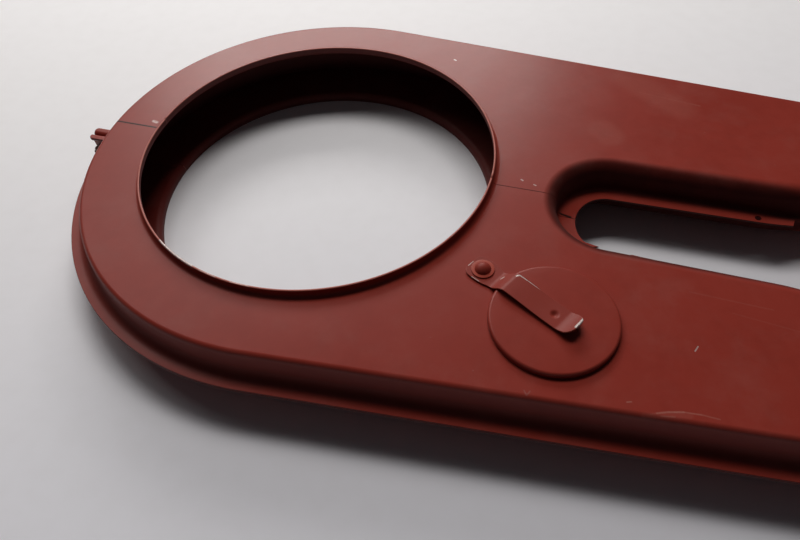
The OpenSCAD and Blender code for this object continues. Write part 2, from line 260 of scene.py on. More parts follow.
class Sheet:
    """One pressing as a single skin of points and faces, which is given its thickness at the end."""

    def __init__(self, thickness: float) -> None:
        """Starts an empty skin.

        Args:
            thickness: Thickness of the sheet.
        """
        self.thickness = thickness
        self.points: list[Vector] = []
        self.normals: list[Vector] = []
        self.faces: list[Ring] = []
        self._known: dict[tuple[int, int, int], int] = {}

    def point(self, place: Vector, normal: Vector) -> int:
        """Adds a point, or finds the one that is already there.

        Args:
            place: Where the point is.
            normal: Normal of the skin there.

        Returns:
            The point's number.
        """
        key = tuple(round(value * WELD_PER_MM) for value in place)
        if key not in self._known:
            self._known[key] = len(self.points)
            self.points.append(place.copy())
            self.normals.append(normal.normalized())
        return self._known[key]

    def face(self, corners: Sequence[int]) -> None:
        """Adds a face that looks the way its points' normals do.

        Args:
            corners: Numbers of its points, in order round it.
        """
        ring = [c for i, c in enumerate(corners) if c != corners[i - 1]]
        if len(ring) < 3:
            return
        a, b, c = (self.points[i] for i in ring[:3])
        facing = (b - a).cross(c - b)
        if facing.dot(self.normals[ring[0]] + self.normals[ring[1]] + self.normals[ring[-1]]) < 0:
            ring.reverse()
        self.faces.append(tuple(ring))

    def sweep(self, stations: Sequence[Station], section: Sequence[SectionPoint]) -> list[list[int]]:
        """Carries a section along stations.

        Args:
            stations: The places along the edge.
            section: The section at each of them.

        Returns:
            The numbers of the points, one row for each station.
        """
        rows = []
        for station in stations:
            row = []
            for spot in section:
                place = station.base + station.across * spot.past + UP * spot.height
                row.append(self.point(place, station.normal * spot.normal_past + UP * spot.normal_height))
            rows.append(row)
        for first, second in zip(rows, rows[1:]):
            for i in range(len(section) - 1):
                self.face((first[i], second[i], second[i + 1], first[i + 1]))
        return rows

    def fill(self, loops: Sequence[Sequence[Vector]], spacing: float,
             shape: Callable[[float, float], tuple[Vector, Vector]]) -> None:
        """Fills an outline with faces.

        Args:
            loops: The outline first, then the holes, as plan points.
            spacing: Spacing of the points inside it.
            shape: Gives the place and the normal of the skin for a plan point.
        """
        plan_points: list[Vector] = []
        edges: list[tuple[int, int]] = []
        for loop in loops:
            start = len(plan_points)
            plan_points += [Vector((p.x, p.y)) for p in loop]
            edges += [(start + i, start + (i + 1) % len(loop)) for i in range(len(loop))]
        low = [min(p[i] for p in plan_points) for i in (0, 1)]
        high = [max(p[i] for p in plan_points) for i in (0, 1)]
        outline = [[(p.x, p.y) for p in loop] for loop in loops]
        crowd = {(round(p.x / spacing * 2), round(p.y / spacing * 2)) for p in plan_points}
        for x in spread_between(low[0] + spacing / 2, high[0] - spacing / 2, spacing):
            for y in spread_between(low[1] + spacing / 2, high[1] - spacing / 2, spacing):
                cell = (round(x / spacing * 2), round(y / spacing * 2))
                if cell not in crowd and inside(outline, (x, y)):
                    plan_points.append(Vector((x, y)))
        made, _, triangles, *_ = delaunay_2d_cdt(plan_points, edges, [], 0, 1e-4)
        numbers = [self.point(*shape(p.x, p.y)) for p in made]
        for triangle in triangles:
            middle = sum((made[i] for i in triangle), Vector((0.0, 0.0))) / len(triangle)
            if inside(outline, (middle.x, middle.y)):
                self.face([numbers[i] for i in triangle])

    @staticmethod
    def level(height: float) -> Callable[[float, float], tuple[Vector, Vector]]:
        """Gives the shape of a flat skin.

        Args:
            height: Its height.

        Returns:
            A function from a plan point to its place and normal.
        """
        return lambda x, y: (Vector((x, y, height)), UP)

    def closed(self, bulge: Callable[[Vector], float]) -> tuple[list[Vector], list[Ring], list[Vector], list[int]]:
        """Gives the skin its thickness, with rounded rims.

        Args:
            bulge: How far a rim stands out past the skin's edge at a point.

        Returns:
            The points, the faces, the normal of each face corner, and for each face 0 outside, 1 on a rim
            and 2 inside.
        """
        points = list(self.points)
        points += [p - n * self.thickness for p, n in zip(self.points, self.normals)]
        shift = len(self.points)
        faces: list[Ring] = []
        corner_normals: list[Vector] = []
        rims: list[int] = []
        uses: dict[tuple[int, int], int] = {}
        for ring in self.faces:
            faces.append(ring)
            corner_normals += [self.normals[i] for i in ring]
            back = tuple(i + shift for i in reversed(ring))
            faces.append(back)
            corner_normals += [-self.normals[i - shift] for i in back]
            rims += [0, 2]
            for i, corner in enumerate(ring):
                pair = (ring[i - 1], corner)
                uses[pair] = uses.get(pair, 0) + 1
        open_edges = [(a, b) for (a, b) in uses if (b, a) not in uses]
        outward: dict[int, Vector] = {}
        for a, b in open_edges:
            along = self.points[b] - self.points[a]
            for i in (a, b):
                outward[i] = outward.get(i, Vector()) + along.cross(self.normals[i]).normalized()
        rows: dict[int, list[int]] = {}
        rim_normals: dict[int, list[Vector]] = {}
        for i, way in outward.items():
            way = way.normalized()
            reach = bulge(self.points[i])
            row, facing = [i], [self.normals[i]]
            for depth, out in RIM_PROFILE[1:-1]:
                row.append(len(points))
                points.append(self.points[i] - self.normals[i] * self.thickness * depth + way * reach * out)
                facing.append((way + self.normals[i] * (0.5 - depth) * RIM_TURN).normalized())
            row.append(i + shift)
            facing.append(-self.normals[i])
            rows[i], rim_normals[i] = row, facing
        for a, b in open_edges:
            for k in range(len(RIM_PROFILE) - 1):
                faces.append((rows[b][k], rows[a][k], rows[a][k + 1], rows[b][k + 1]))
                corner_normals += [rim_normals[b][k], rim_normals[a][k], rim_normals[a][k + 1], rim_normals[b][k + 1]]
                rims.append(1)
        return points, faces, corner_normals, rims


def inside(loops: Sequence[Sequence[Point2]], spot: Point2) -> bool:
    """Tells whether a plan point lies inside an outline and outside its holes.

    Args:
        loops: The outline and the holes.
        spot: The point.

    Returns:
        True if it lies inside.
    """
    within = False
    x, y = spot
    for loop in loops:
        for i, (x1, y1) in enumerate(loop):
            x0, y0 = loop[i - 1]
            if (y0 > y) != (y1 > y) and x < x0 + (y - y0) * (x1 - x0) / (y1 - y0):
                within = not within
    return within


def write_mesh(name: str, points: Iterable[Vector], faces: Sequence[Ring],
               corner_normals: Sequence[Vector] | None, place: Matrix, finishes: Sequence[Material],
               picks: Sequence[int] | None = None) -> bpy.types.Object:
    """Writes a mesh in metres, in place, with its object at the origin.

    Args:
        name: Name of the piece.
        points: Its points in millimetres.
        faces: Its faces.
        corner_normals: A normal for each face corner, or None to work them out.
        place: Where the points go, in millimetres; it may mirror them.
        finishes: Its materials.
        picks: Which of the materials each face takes.

    Returns:
        The new object.
    """
    mirrored = place.determinant() < 0
    rings = [tuple(reversed(f)) for f in faces] if mirrored else list(faces)
    mesh = bpy.data.meshes.new(name)
    mesh.from_pydata([(place @ p) * MM for p in points], [], rings)
    for material in finishes:
        mesh.materials.append(material)
    if picks is not None:
        mesh.polygons.foreach_set("material_index", picks)
    mesh.polygons.foreach_set("use_smooth", [True] * len(mesh.polygons))
    if corner_normals is not None:
        turn = place.to_3x3()
        turned = []
        start = 0
        for f in faces:
            block = [(turn @ n).normalized() for n in corner_normals[start:start + len(f)]]
            turned += reversed(block) if mirrored else block
            start += len(f)
        mesh.normals_split_custom_set([tuple(n) for n in turned])
    piece = bpy.data.objects.new(name, mesh)
    bpy.context.scene.collection.objects.link(piece)
    return piece


# ---- materials

class Shader:
    """Builds the nodes of one tree and links them, so that a finish reads as a short list of steps."""

    def __init__(self, tree: bpy.types.NodeTree) -> None:
        """Wraps a node tree.

        Args:
            tree: The tree to build in.
        """
        self.tree = tree

    def ended(self, *sockets: Socket) -> bpy.types.NodeTree:
        """Ends a node group.

        Args:
            sockets: What it puts out.

        Returns:
            The group's tree.
        """
        end = self.tree.nodes.new("NodeGroupOutput")
        for socket, into in zip(sockets, end.inputs):
            self.tree.links.new(socket, into)
        return self.tree

    def node(self, kind: str, inputs: dict[str | int, object] | None = None, **settings: object) -> bpy.types.Node:
        """Adds a node.

        Args:
            kind: The node's type; a shader node's goes without the ShaderNode in front.
            inputs: A value or a socket for each input, by name or number.
            settings: Attributes of the node.

        Returns:
            The node.
        """
        made = self.tree.nodes.new(kind if kind.startswith("Geometry") else "ShaderNode" + kind)
        for name, value in settings.items():
            setattr(made, name, value)
        for key, value in (inputs or {}).items():
            self.feed(made.inputs[key], value)
        return made

    def feed(self, socket: Socket, value: object) -> None:
        """Links a socket to an input, or sets the input's own value.

        Args:
            socket: The input.
            value: A socket, a number, a vector or a colour.
        """
        if isinstance(value, Socket):
            self.tree.links.new(value, socket)
        elif isinstance(value, tuple) and socket.type == "RGBA":
            socket.default_value = (*value, 1.0)
        else:
            socket.default_value = value

    def math(self, operation: str, first: object, second: object = 0.0) -> Socket:
        """Adds a Math node.

        Args:
            operation: What it does.
            first: Its first value or socket.
            second: Its second.

        Returns:
            Its output.
        """
        return self.node("Math", {0: first, 1: second}, operation=operation).outputs[0]

    def plus(self, first: object, second: object) -> Socket:
        """Adds two values or sockets."""
        return self.math("ADD", first, second)

    def minus(self, first: object, second: object) -> Socket:
        """Takes the second value or socket from the first."""
        return self.math("SUBTRACT", first, second)

    def times(self, first: object, second: object) -> Socket:
        """Multiplies two values or sockets."""
        return self.math("MULTIPLY", first, second)

    def larger(self, first: object, second: object) -> Socket:
        """Gives the larger of two values or sockets."""
        return self.math("MAXIMUM", first, second)

    def blend(self, share: object, first: object, second: object) -> Socket:
        """Mixes two colours.

        Args:
            share: How much of the second is in the mix.
            first: First colour.
            second: Second colour.

        Returns:
            The mixed colour.
        """
        return self.node("Mix", {0: share, 6: first, 7: second}, data_type="RGBA").outputs[2]

    def ramp(self, value: object, low: float, high: float, to_low: float = 0.0, to_high: float = 1.0) -> Socket:
        """Maps a value smoothly from one range to another.

        Args:
            value: The value.
            low: Where the range starts.
            high: Where it ends.
            to_low: What it gives below the range.
            to_high: What it gives above it.

        Returns:
            The mapped value.
        """
        made = self.node("MapRange", {0: value, 1: low, 2: high, 3: to_low, 4: to_high},
                         interpolation_type="SMOOTHSTEP")
        return made.outputs[0]

    def noise(self, place: object, scale: float, detail: float, roughness: float = 0.5) -> Socket:
        """Adds a noise texture.

        Args:
            place: Where it is looked up, in metres.
            scale: How fine it is.
            detail: How many finer layers lie on it.
            roughness: How strong those are.

        Returns:
            Its value.
        """
        return self.node("TexNoise", {"Vector": place, "Scale": scale, "Detail": detail,
                                      "Roughness": roughness}).outputs[0]

    def group(self, made: bpy.types.NodeTree, inputs: dict[str, object]) -> bpy.types.NodeOutputs:
        """Places a node group.

        Args:
            made: The group's tree.
            inputs: Values or sockets by input name.

        Returns:
            The group's outputs.
        """
        holder = self.tree.nodes.new("ShaderNodeGroup")
        holder.node_tree = made
        for key, value in inputs.items():
            self.feed(holder.inputs[key], value)
        return holder.outputs


class Surface(Shader):
    """Builds the nodes of one material round its Principled shader."""

    def __init__(self, name: str) -> None:
        """Starts a material.

        Args:
            name: Name of the material.
        """
        self.material = bpy.data.materials.new(name)
        self.material.use_nodes = True
        super().__init__(self.material.node_tree)
        self.shown = self.tree.nodes["Principled BSDF"].inputs
        self.place = self.node("TexCoord").outputs["Object"]

    def finished(self, colour: Socket, roughness: object, height: Socket, metallic: object = 0.0) -> Material:
        """Gives the looks to the Principled shader.

        Args:
            colour: Colour of the surface.
            roughness: Its roughness.
            height: Its height, in metres.
            metallic: How metallic it is.

        Returns:
            The material.
        """
        bump = self.node("Bump", {"Height": height, "Strength": 1.0, "Distance": 1.0}).outputs[0]
        for name, value in (("Base Color", colour), ("Roughness", roughness), ("Metallic", metallic), ("Normal", bump)):
            self.feed(self.shown[name], value)
        return self.material


def new_group(name: str, inputs: Sequence[tuple[str, str, object]], outputs: Sequence[tuple[str, str]],
              kind: str = "ShaderNodeTree") -> tuple[Shader, dict[str, Socket]]:
    """Starts a node group.

    Args:
        name: Name of the group.
        inputs: Name, kind of socket and default of each input.
        outputs: Name and kind of socket of each output.
        kind: The type of its tree.

    Returns:
        The builder for its tree, and its inputs by name.
    """
    tree = bpy.data.node_groups.new(name, kind)
    for label, socket_kind, default in inputs:
        socket = tree.interface.new_socket(label, in_out="INPUT", socket_type="NodeSocket" + socket_kind)
        if default is not None:
            socket.default_value = default
    for label, socket_kind in outputs:
        tree.interface.new_socket(label, in_out="OUTPUT", socket_type="NodeSocket" + socket_kind)
    start = tree.nodes.new("NodeGroupInput")
    return Shader(tree), {s.name: s for s in start.outputs if s.name}


class Effects:
    """Shader node groups that several finishes share, each built once."""

    def __init__(self) -> None:
        """Builds the groups."""
        self.stroke = self._stroke()
        self.case_zones = self._case_zones()
        self.chips = self._chips()
        self.enamel = self._enamel()
        self.dust = self._dust()

    @staticmethod
    def _stroke() -> bpy.types.NodeTree:
        """Builds the mark left by one scrape or scuff.

        Returns:
            The group, which puts out a mask round a straight line between two points.
        """
        shader, given = new_group(
            "scrape_mark",
            [("Place", "Vector", None), ("Start", "Vector", (0, 0, 0)), ("End", "Vector", (0.01, 0, 0)),
             ("Width", "Float", 0.0005), ("Softness", "Float", 0.0005), ("Break up", "Float", 0.5)],
            [("Mask", "Float")])
        run = shader.node("VectorMath", {0: given["End"], 1: given["Start"]}, operation="SUBTRACT").outputs[0]
        way = shader.node("VectorMath", {0: given["Place"], 1: given["Start"]}, operation="SUBTRACT").outputs[0]
        along = shader.node("VectorMath", {0: way, 1: run}, operation="DOT_PRODUCT").outputs[1]
        length = shader.node("VectorMath", {0: run, 1: run}, operation="DOT_PRODUCT").outputs[1]
        share = shader.node("Clamp", {0: shader.math("DIVIDE", along, length)}).outputs[0]
        nearest = shader.node("VectorMath", {0: run, 3: share}, operation="SCALE").outputs[0]
        away = shader.node("VectorMath", {0: way, 1: nearest}, operation="DISTANCE").outputs[1]
        rough = shader.noise(given["Place"], scale=900.0, detail=3.0)
        uneven = shader.times(shader.minus(rough, 0.5), shader.times(given["Break up"], 2.0))
        edge = shader.plus(given["Width"], given["Softness"])
        core = shader.node("MapRange", {0: away, 1: edge, 2: given["Width"], 3: 0.0, 4: 1.0},
                           interpolation_type="SMOOTHSTEP").outputs[0]
        broken = shader.times(core, shader.plus(uneven, 1.0))
        return shader.ended(shader.node("Clamp", {0: broken}).outputs[0])

    @staticmethod
    def _case_zones() -> bpy.types.NodeTree:
        """Builds the distances to the case's own edges.

        Returns:
            The group, which puts out the distance from the hub axis, across the outer edge and from the
            line of the slot, in millimetres, the height above the seam, and the height's size.
        """
        shader, given = new_group(
            "case_zones", [("Place", "Vector", None)],
            [("Hub", "Float"), ("Outline", "Float"), ("Slot", "Float"), ("Height", "Float")])
        parts = shader.node("SeparateXYZ", {0: given["Place"]})
        x = shader.times(parts.outputs[0], 1000.0)
        y = shader.math("ABSOLUTE", shader.times(parts.outputs[1], 1000.0))
        z = shader.times(parts.outputs[2], 1000.0)

        def length(a: Socket, b: Socket) -> Socket:
            """Gives the length of a plan vector of two sockets."""
            return shader.math("SQRT", shader.plus(shader.times(a, a), shader.times(b, b)))

        hub = length(x, y)
        turn = math.radians(PLAN.taper)
        across = shader.plus(shader.times(x, math.sin(turn)), shader.times(y, math.cos(turn)))
        along = shader.minus(shader.times(x, math.cos(turn)), shader.times(y, math.sin(turn)))
        outline = length(shader.math("MINIMUM", along, 0.0), across)
        past = shader.math("MINIMUM", shader.minus(x, PLAN.slot_x), 0.0)
        slot = length(past, y)
        height = shader.minus(z, PLAN.seam_z)
        return shader.ended(hub, outline, slot, height)

    @staticmethod
    def _chips() -> bpy.types.NodeTree:
        """Builds chipped paint: a mask that is patchy where the wear is light and whole where it is heavy.

        Returns:
            The group.
        """
        shader, given = new_group(
            "chipped_paint",
            [("Place", "Vector", None), ("Wear", "Float", 0.0), ("Size", "Float", 1.0), ("Seed", "Float", 0.0)],
            [("Mask", "Float")])
        start, fine_share = (0.37, 0.11, 0.59), 0.6
        sound_limit, limit_drop, fade = 0.78, 0.42, 0.02
        shifted = shader.node("VectorMath", {0: given["Place"], 1: start}, operation="ADD").outputs[0]
        scaled = shader.node("VectorMath", {0: shifted, 3: shader.math("DIVIDE", 1.0, given["Size"])},
                             operation="SCALE").outputs[0]
        fine, broad = (
            shader.node("TexNoise", {"Vector": scaled, "W": given["Seed"], "Scale": scale, "Detail": detail,
                                     "Roughness": roughness}, noise_dimensions="4D").outputs[0]
            for scale, detail, roughness in ((620.0, 5.0, 0.62), (75.0, 2.0, 0.5)))
        pattern = shader.plus(shader.times(fine, fine_share), shader.times(broad, 1.0 - fine_share))
        limit = shader.minus(sound_limit, shader.times(given["Wear"], limit_drop))
        return shader.ended(shader.ramp(shader.minus(pattern, limit), 0.0, fade))

    @staticmethod
    def _enamel() -> bpy.types.NodeTree:
        """Builds the look of sprayed paint: mottled tone, fine grain, nibs of dust and a wavy sheet under it.

        Returns:
            The group, which puts out a tone, a height in metres, a roughness to add and the nibs.
        """
        shader, given = new_group(
            "sprayed_paint",
            [("Place", "Vector", None), ("Grain", "Float", 1.0), ("Waves", "Float", 1.0)],
            [("Tone", "Float"), ("Height", "Float"), ("Roughness", "Float"), ("Nibs", "Float")])
        place = given["Place"]
        grain_h, peel_h, nib_h, wave_h = 0.000004, 0.000012, 0.00004, 0.0007
        cloud_share = 0.65
        cloud = shader.noise(place, scale=14.0, detail=4.0, roughness=0.55)
        mottle = shader.noise(place, scale=160.0, detail=3.0)
        tone = shader.plus(shader.times(cloud, cloud_share), shader.times(mottle, 1.0 - cloud_share))
        grain = shader.noise(place, scale=1500.0, detail=2.0)
        peel = shader.noise(place, scale=420.0, detail=1.0)
        cells = shader.node("TexVoronoi", {"Vector": place, "Scale": 150.0, "Randomness": 1.0})
        pick = shader.node("SeparateColor", {0: cells.outputs["Color"]}).outputs[0]
        nib = shader.times(shader.ramp(cells.outputs["Distance"], 0.09, 0.03),
                          shader.math("GREATER_THAN", pick, 0.86))
        wave = shader.noise(place, scale=17.0, detail=1.0)
        fine = shader.plus(shader.times(grain, grain_h), shader.times(peel, peel_h))
        height = shader.times(fine, given["Grain"])
        height = shader.plus(height, shader.times(nib, nib_h))
        height = shader.plus(height, shader.times(shader.times(wave, wave_h), given["Waves"]))
        rough = shader.times(shader.minus(cloud, 0.5), 0.16)
        return shader.ended(tone, height, rough, nib)

    @staticmethod
    def _dust() -> bpy.types.NodeTree:
        """Builds a thin, patchy film of dust that lies on surfaces which face up.

        Returns:
            The group, which puts out a mask.
        """
        shader, given = new_group(
            "thin_dust", [("Place", "Vector", None), ("Amount", "Float", 0.2)], [("Mask", "Float")])
        normal = shader.node("NewGeometry").outputs["Normal"]
        level = shader.node("SeparateXYZ", {0: normal}).outputs[2]
        patch = shader.noise(given["Place"], scale=38.0, detail=6.0, roughness=0.7)
        mask = shader.times(shader.ramp(level, 0.3, 1.0), shader.ramp(patch, 0.42, 0.75))
        return shader.ended(shader.times(mask, given["Amount"]))


STEEL: Colour = (0.46, 0.43, 0.41)
STEEL_TONES = (0.8, 1.15)  # how dark and how light it is in places
BARE_METAL: Colour = (0.62, 0.55, 0.52)
RUBBED_PAINT: Colour = (0.50, 0.27, 0.22)
SPLIT_SHADOW: Colour = (0.012, 0.004, 0.004)
DRY_DUST: Colour = (0.46, 0.36, 0.32)
DUST_NIB: Colour = (0.30, 0.12, 0.10)
SLOT_DIRT_AND_SHADE: Colour = (0.014, 0.003, 0.003)
SLOT_RIM_SHADE: Colour = (0.022, 0.005, 0.004)
LIP_HIGHLIGHT_COLOUR: Colour = (0.46, 0.14, 0.11)
CLAMP_DIRT: Colour = (0.13, 0.045, 0.03)
DEEP_TONE, PALE_TONE, PALE_LIFT = 0.94, 1.05, 0.001
TONE_START, TONE_END = 0.36, 0.64
NIB_SHARE = 0.16
RIM_SHADE_SHARE = 0.8
WALL_GRIME_AND_SHADE = 0.36  # dirt and painted shade on the outer wall, against that in the slot's recess
DUST_ROUGHNESS, BARE_POLISH = 0.25, 0.08
PAINT_SPECULAR = 0.34
BARE_METALLIC = 0.35
CHIP_DEPTH = 0.00006


class Mark(Enum):
    """What a mark shows: paint rubbed dull, bare metal, or a dark line of dirt and shadow."""

    RUBBED = "rubbed"
    BARE = "bare"
    DARK = "dark"


@dataclass(frozen=True)
class Scrape:
    """A scrape, chip or dark line at a place on the case, in millimetres."""

    start: tuple[float, float, float]
    end: tuple[float, float, float]
    width: float
    softness: float
    strength: float
    mark: Mark = Mark.RUBBED
    break_up: float = 0.7

    def mask(self, shader: Shader, effects: Effects, place: Socket) -> Socket:
        """Builds how strongly the mark shows.

        Args:
            shader: Builder of the material's nodes.
            effects: The shared node groups.
            place: Object coordinates.

        Returns:
            The mask, from 0 to the mark's strength.
        """
        shown = shader.group(effects.stroke, {
            "Place": place, "Start": [v * MM for v in self.start], "End": [v * MM for v in self.end],
            "Width": self.width * MM, "Softness": self.softness * MM, "Break up": self.break_up})
        return shader.times(shown["Mask"], self.strength)


def level_marks(height: float, rows: Sequence[tuple], *shared: object) -> tuple[Scrape, ...]:
    """Makes marks that lie at one height.

    Args:
        height: Their height.
        rows: For each, where it starts and ends in the plan, its width, softness and strength, and if they
            aren't the usual ones its kind and how broken up it is.
        shared: The last of these, if all the marks share them.

    Returns:
        The marks.
    """
    return tuple(Scrape((*start, height), (*end, height), *rest, *shared) for start, end, *rest in rows)


LIP_TOP = PLAN.front_z + PLAN.lip_h
CASE_MARKS = (
    *level_marks(PLAN.front_z, (
        ((158.8, 91.0), (190.7, 86.0), 0.2, 0.5, 0.13),
        ((163.0, 93.5), (181.0, 90.0), 0.15, 0.4, 0.1),
        ((150.0, 104.0), (180.0, 82.0), 4.0, 9.0, 0.07, Mark.RUBBED, 0.4),
        ((142.0, 54.0), (146.0, 50.0), 5.0, 5.0, 0.06, Mark.RUBBED, 0.3),
        ((50.2, 99.4), (51.4, 98.8), 0.3, 0.3, 0.8, Mark.BARE),
        ((106.6, 6.4), (107.4, 5.9), 0.25, 0.3, 0.6, Mark.BARE),
        ((113.2, 4.3), (114.2, 3.9), 0.2, 0.3, 0.6, Mark.BARE),
        ((190.3, -74.8), (191.4, -72.3), 0.1, 0.3, 0.6, Mark.BARE),
        ((127.5, -109.7), (128.8, -111.6), 0.08, 0.4, 0.1, Mark.BARE),
        ((128.8, -111.6), (129.8, -109.4), 0.06, 0.4, 0.08, Mark.BARE),
        ((166.0, -104.6), (167.6, -104.0), 0.1, 0.35, 0.3),
        ((157.6, -110.9), (158.0, -111.2), 0.12, 0.35, 0.3),
        ((169.3, -109.9), (170.9, -109.2), 0.1, 0.35, 0.3),
        ((171.1, -109.3), (177.1, -106.4), 0.1, 0.45, 0.12),
        ((177.1, -106.4), (181.0, -104.9), 0.16, 0.45, 0.28),
        ((181.0, -104.9), (186.7, -103.4), 0.16, 0.45, 0.34),
        ((186.7, -103.4), (193.1, -102.8), 0.1, 0.4, 0.22),
        ((193.1, -102.8), (199.5, -103.0), 0.08, 0.4, 0.16),
        ((178.6, -107.2), (183.6, -106.2), 0.1, 0.45, 0.22),
        ((172.9, -108.5), (188.9, -104.4), 0.5, 1.4, 0.06),
        ((187.8, -45.0), (221.0, -46.2), 0.15, 0.35, 0.05),
        ((205.0, -52.0), (232.0, -55.0), 0.12, 0.3, 0.04),
        ((-123.5, 0.0), (-98.0, 0.0), 0.3, 0.5, 0.9, Mark.DARK, 0.2),
        ((-101.8, 4.8), (-99.4, 4.2), 0.2, 1.2, 0.6, Mark.BARE, 1.0),
        ((96.5, 0.0), (119.0, 0.0), 0.1, 0.3, 0.5, Mark.DARK, 0.3),
    )),
    Scrape((-124.0, 0.0, 34.0), (-124.8, 0.0, 22.0), 0.25, 0.45, 0.8, Mark.DARK, 0.2),
    Scrape((123.4, 4.4, 20.8), (127.6, 1.9, 20.5), 0.35, 0.5, 1.0, Mark.DARK, 0.2),
    Scrape((127.6, 1.9, 20.5), (133.8, 0.6, 20.5), 0.35, 0.5, 1.0, Mark.DARK, 0.2),
    *level_marks(LIP_TOP, (
        ((-49.6, -78.1), (-46.6, -80.0), 0.5, 0.25, 0.8),
        ((-46.1, -80.3), (-42.9, -82.0), 0.5, 0.25, 0.95),
        ((-42.4, -82.3), (-39.2, -83.8), 0.5, 0.25, 0.8),
        ((-38.7, -84.1), (-35.4, -85.5), 0.5, 0.25, 0.95),
        ((-34.9, -85.7), (-31.5, -87.0), 0.5, 0.25, 0.8),
        ((-31.0, -87.2), (-27.6, -88.3), 0.5, 0.25, 0.95),
        ((-23.4, -89.6), (-14.1, -91.5), 0.2, 0.2, 0.5),
        ((-6.5, -92.3), (3.0, -92.5), 0.2, 0.2, 0.5),
    ), Mark.BARE, 0.9),
    *level_marks(LIP_TOP - 0.4, (
        ((-49.3, -78.9), (-46.8, -80.4), 0.35, 0.3, 0.9),
        ((-46.0, -80.9), (-44.0, -82.0), 0.35, 0.3, 0.7),
        ((-43.1, -82.5), (-38.7, -84.6), 0.35, 0.3, 0.95),
        ((-37.5, -85.1), (-36.4, -85.7), 0.35, 0.3, 0.6),
        ((-34.1, -86.6), (-29.7, -88.2), 0.35, 0.3, 0.9),
        ((-28.1, -88.7), (-27.0, -89.0), 0.35, 0.3, 0.5),
    ), Mark.BARE, 0.9),
)

CLIP_MARKS = tuple(Scrape(*row, Mark.BARE, 0.8) for row in (
    ((108.52, -59.37, 36.9), (109.79, -58.13, 37.1), 0.12, 0.3, 0.8),
    ((115.20, -59.31, 40.9), (116.43, -58.74, 41.1), 0.2, 0.35, 0.9),
    ((116.83, -58.85, 41.1), (120.00, -60.55, 41.0), 0.18, 0.25, 0.95),
    ((120.52, -60.84, 41.0), (126.14, -63.91, 40.8), 0.1, 0.2, 0.8),
    ((93.10, -54.80, 36.0), (94.66, -52.00, 36.0), 0.12, 0.2, 0.8),
    ((95.93, -60.61, 36.0), (99.53, -62.38, 36.0), 0.1, 0.2, 0.6),
    ((142.76, -80.83, 43.5), (145.05, -76.61, 43.5), 0.65, 0.25, 1.0),
    ((145.05, -76.61, 43.5), (144.91, -74.82, 43.2), 0.45, 0.2, 0.9),
))


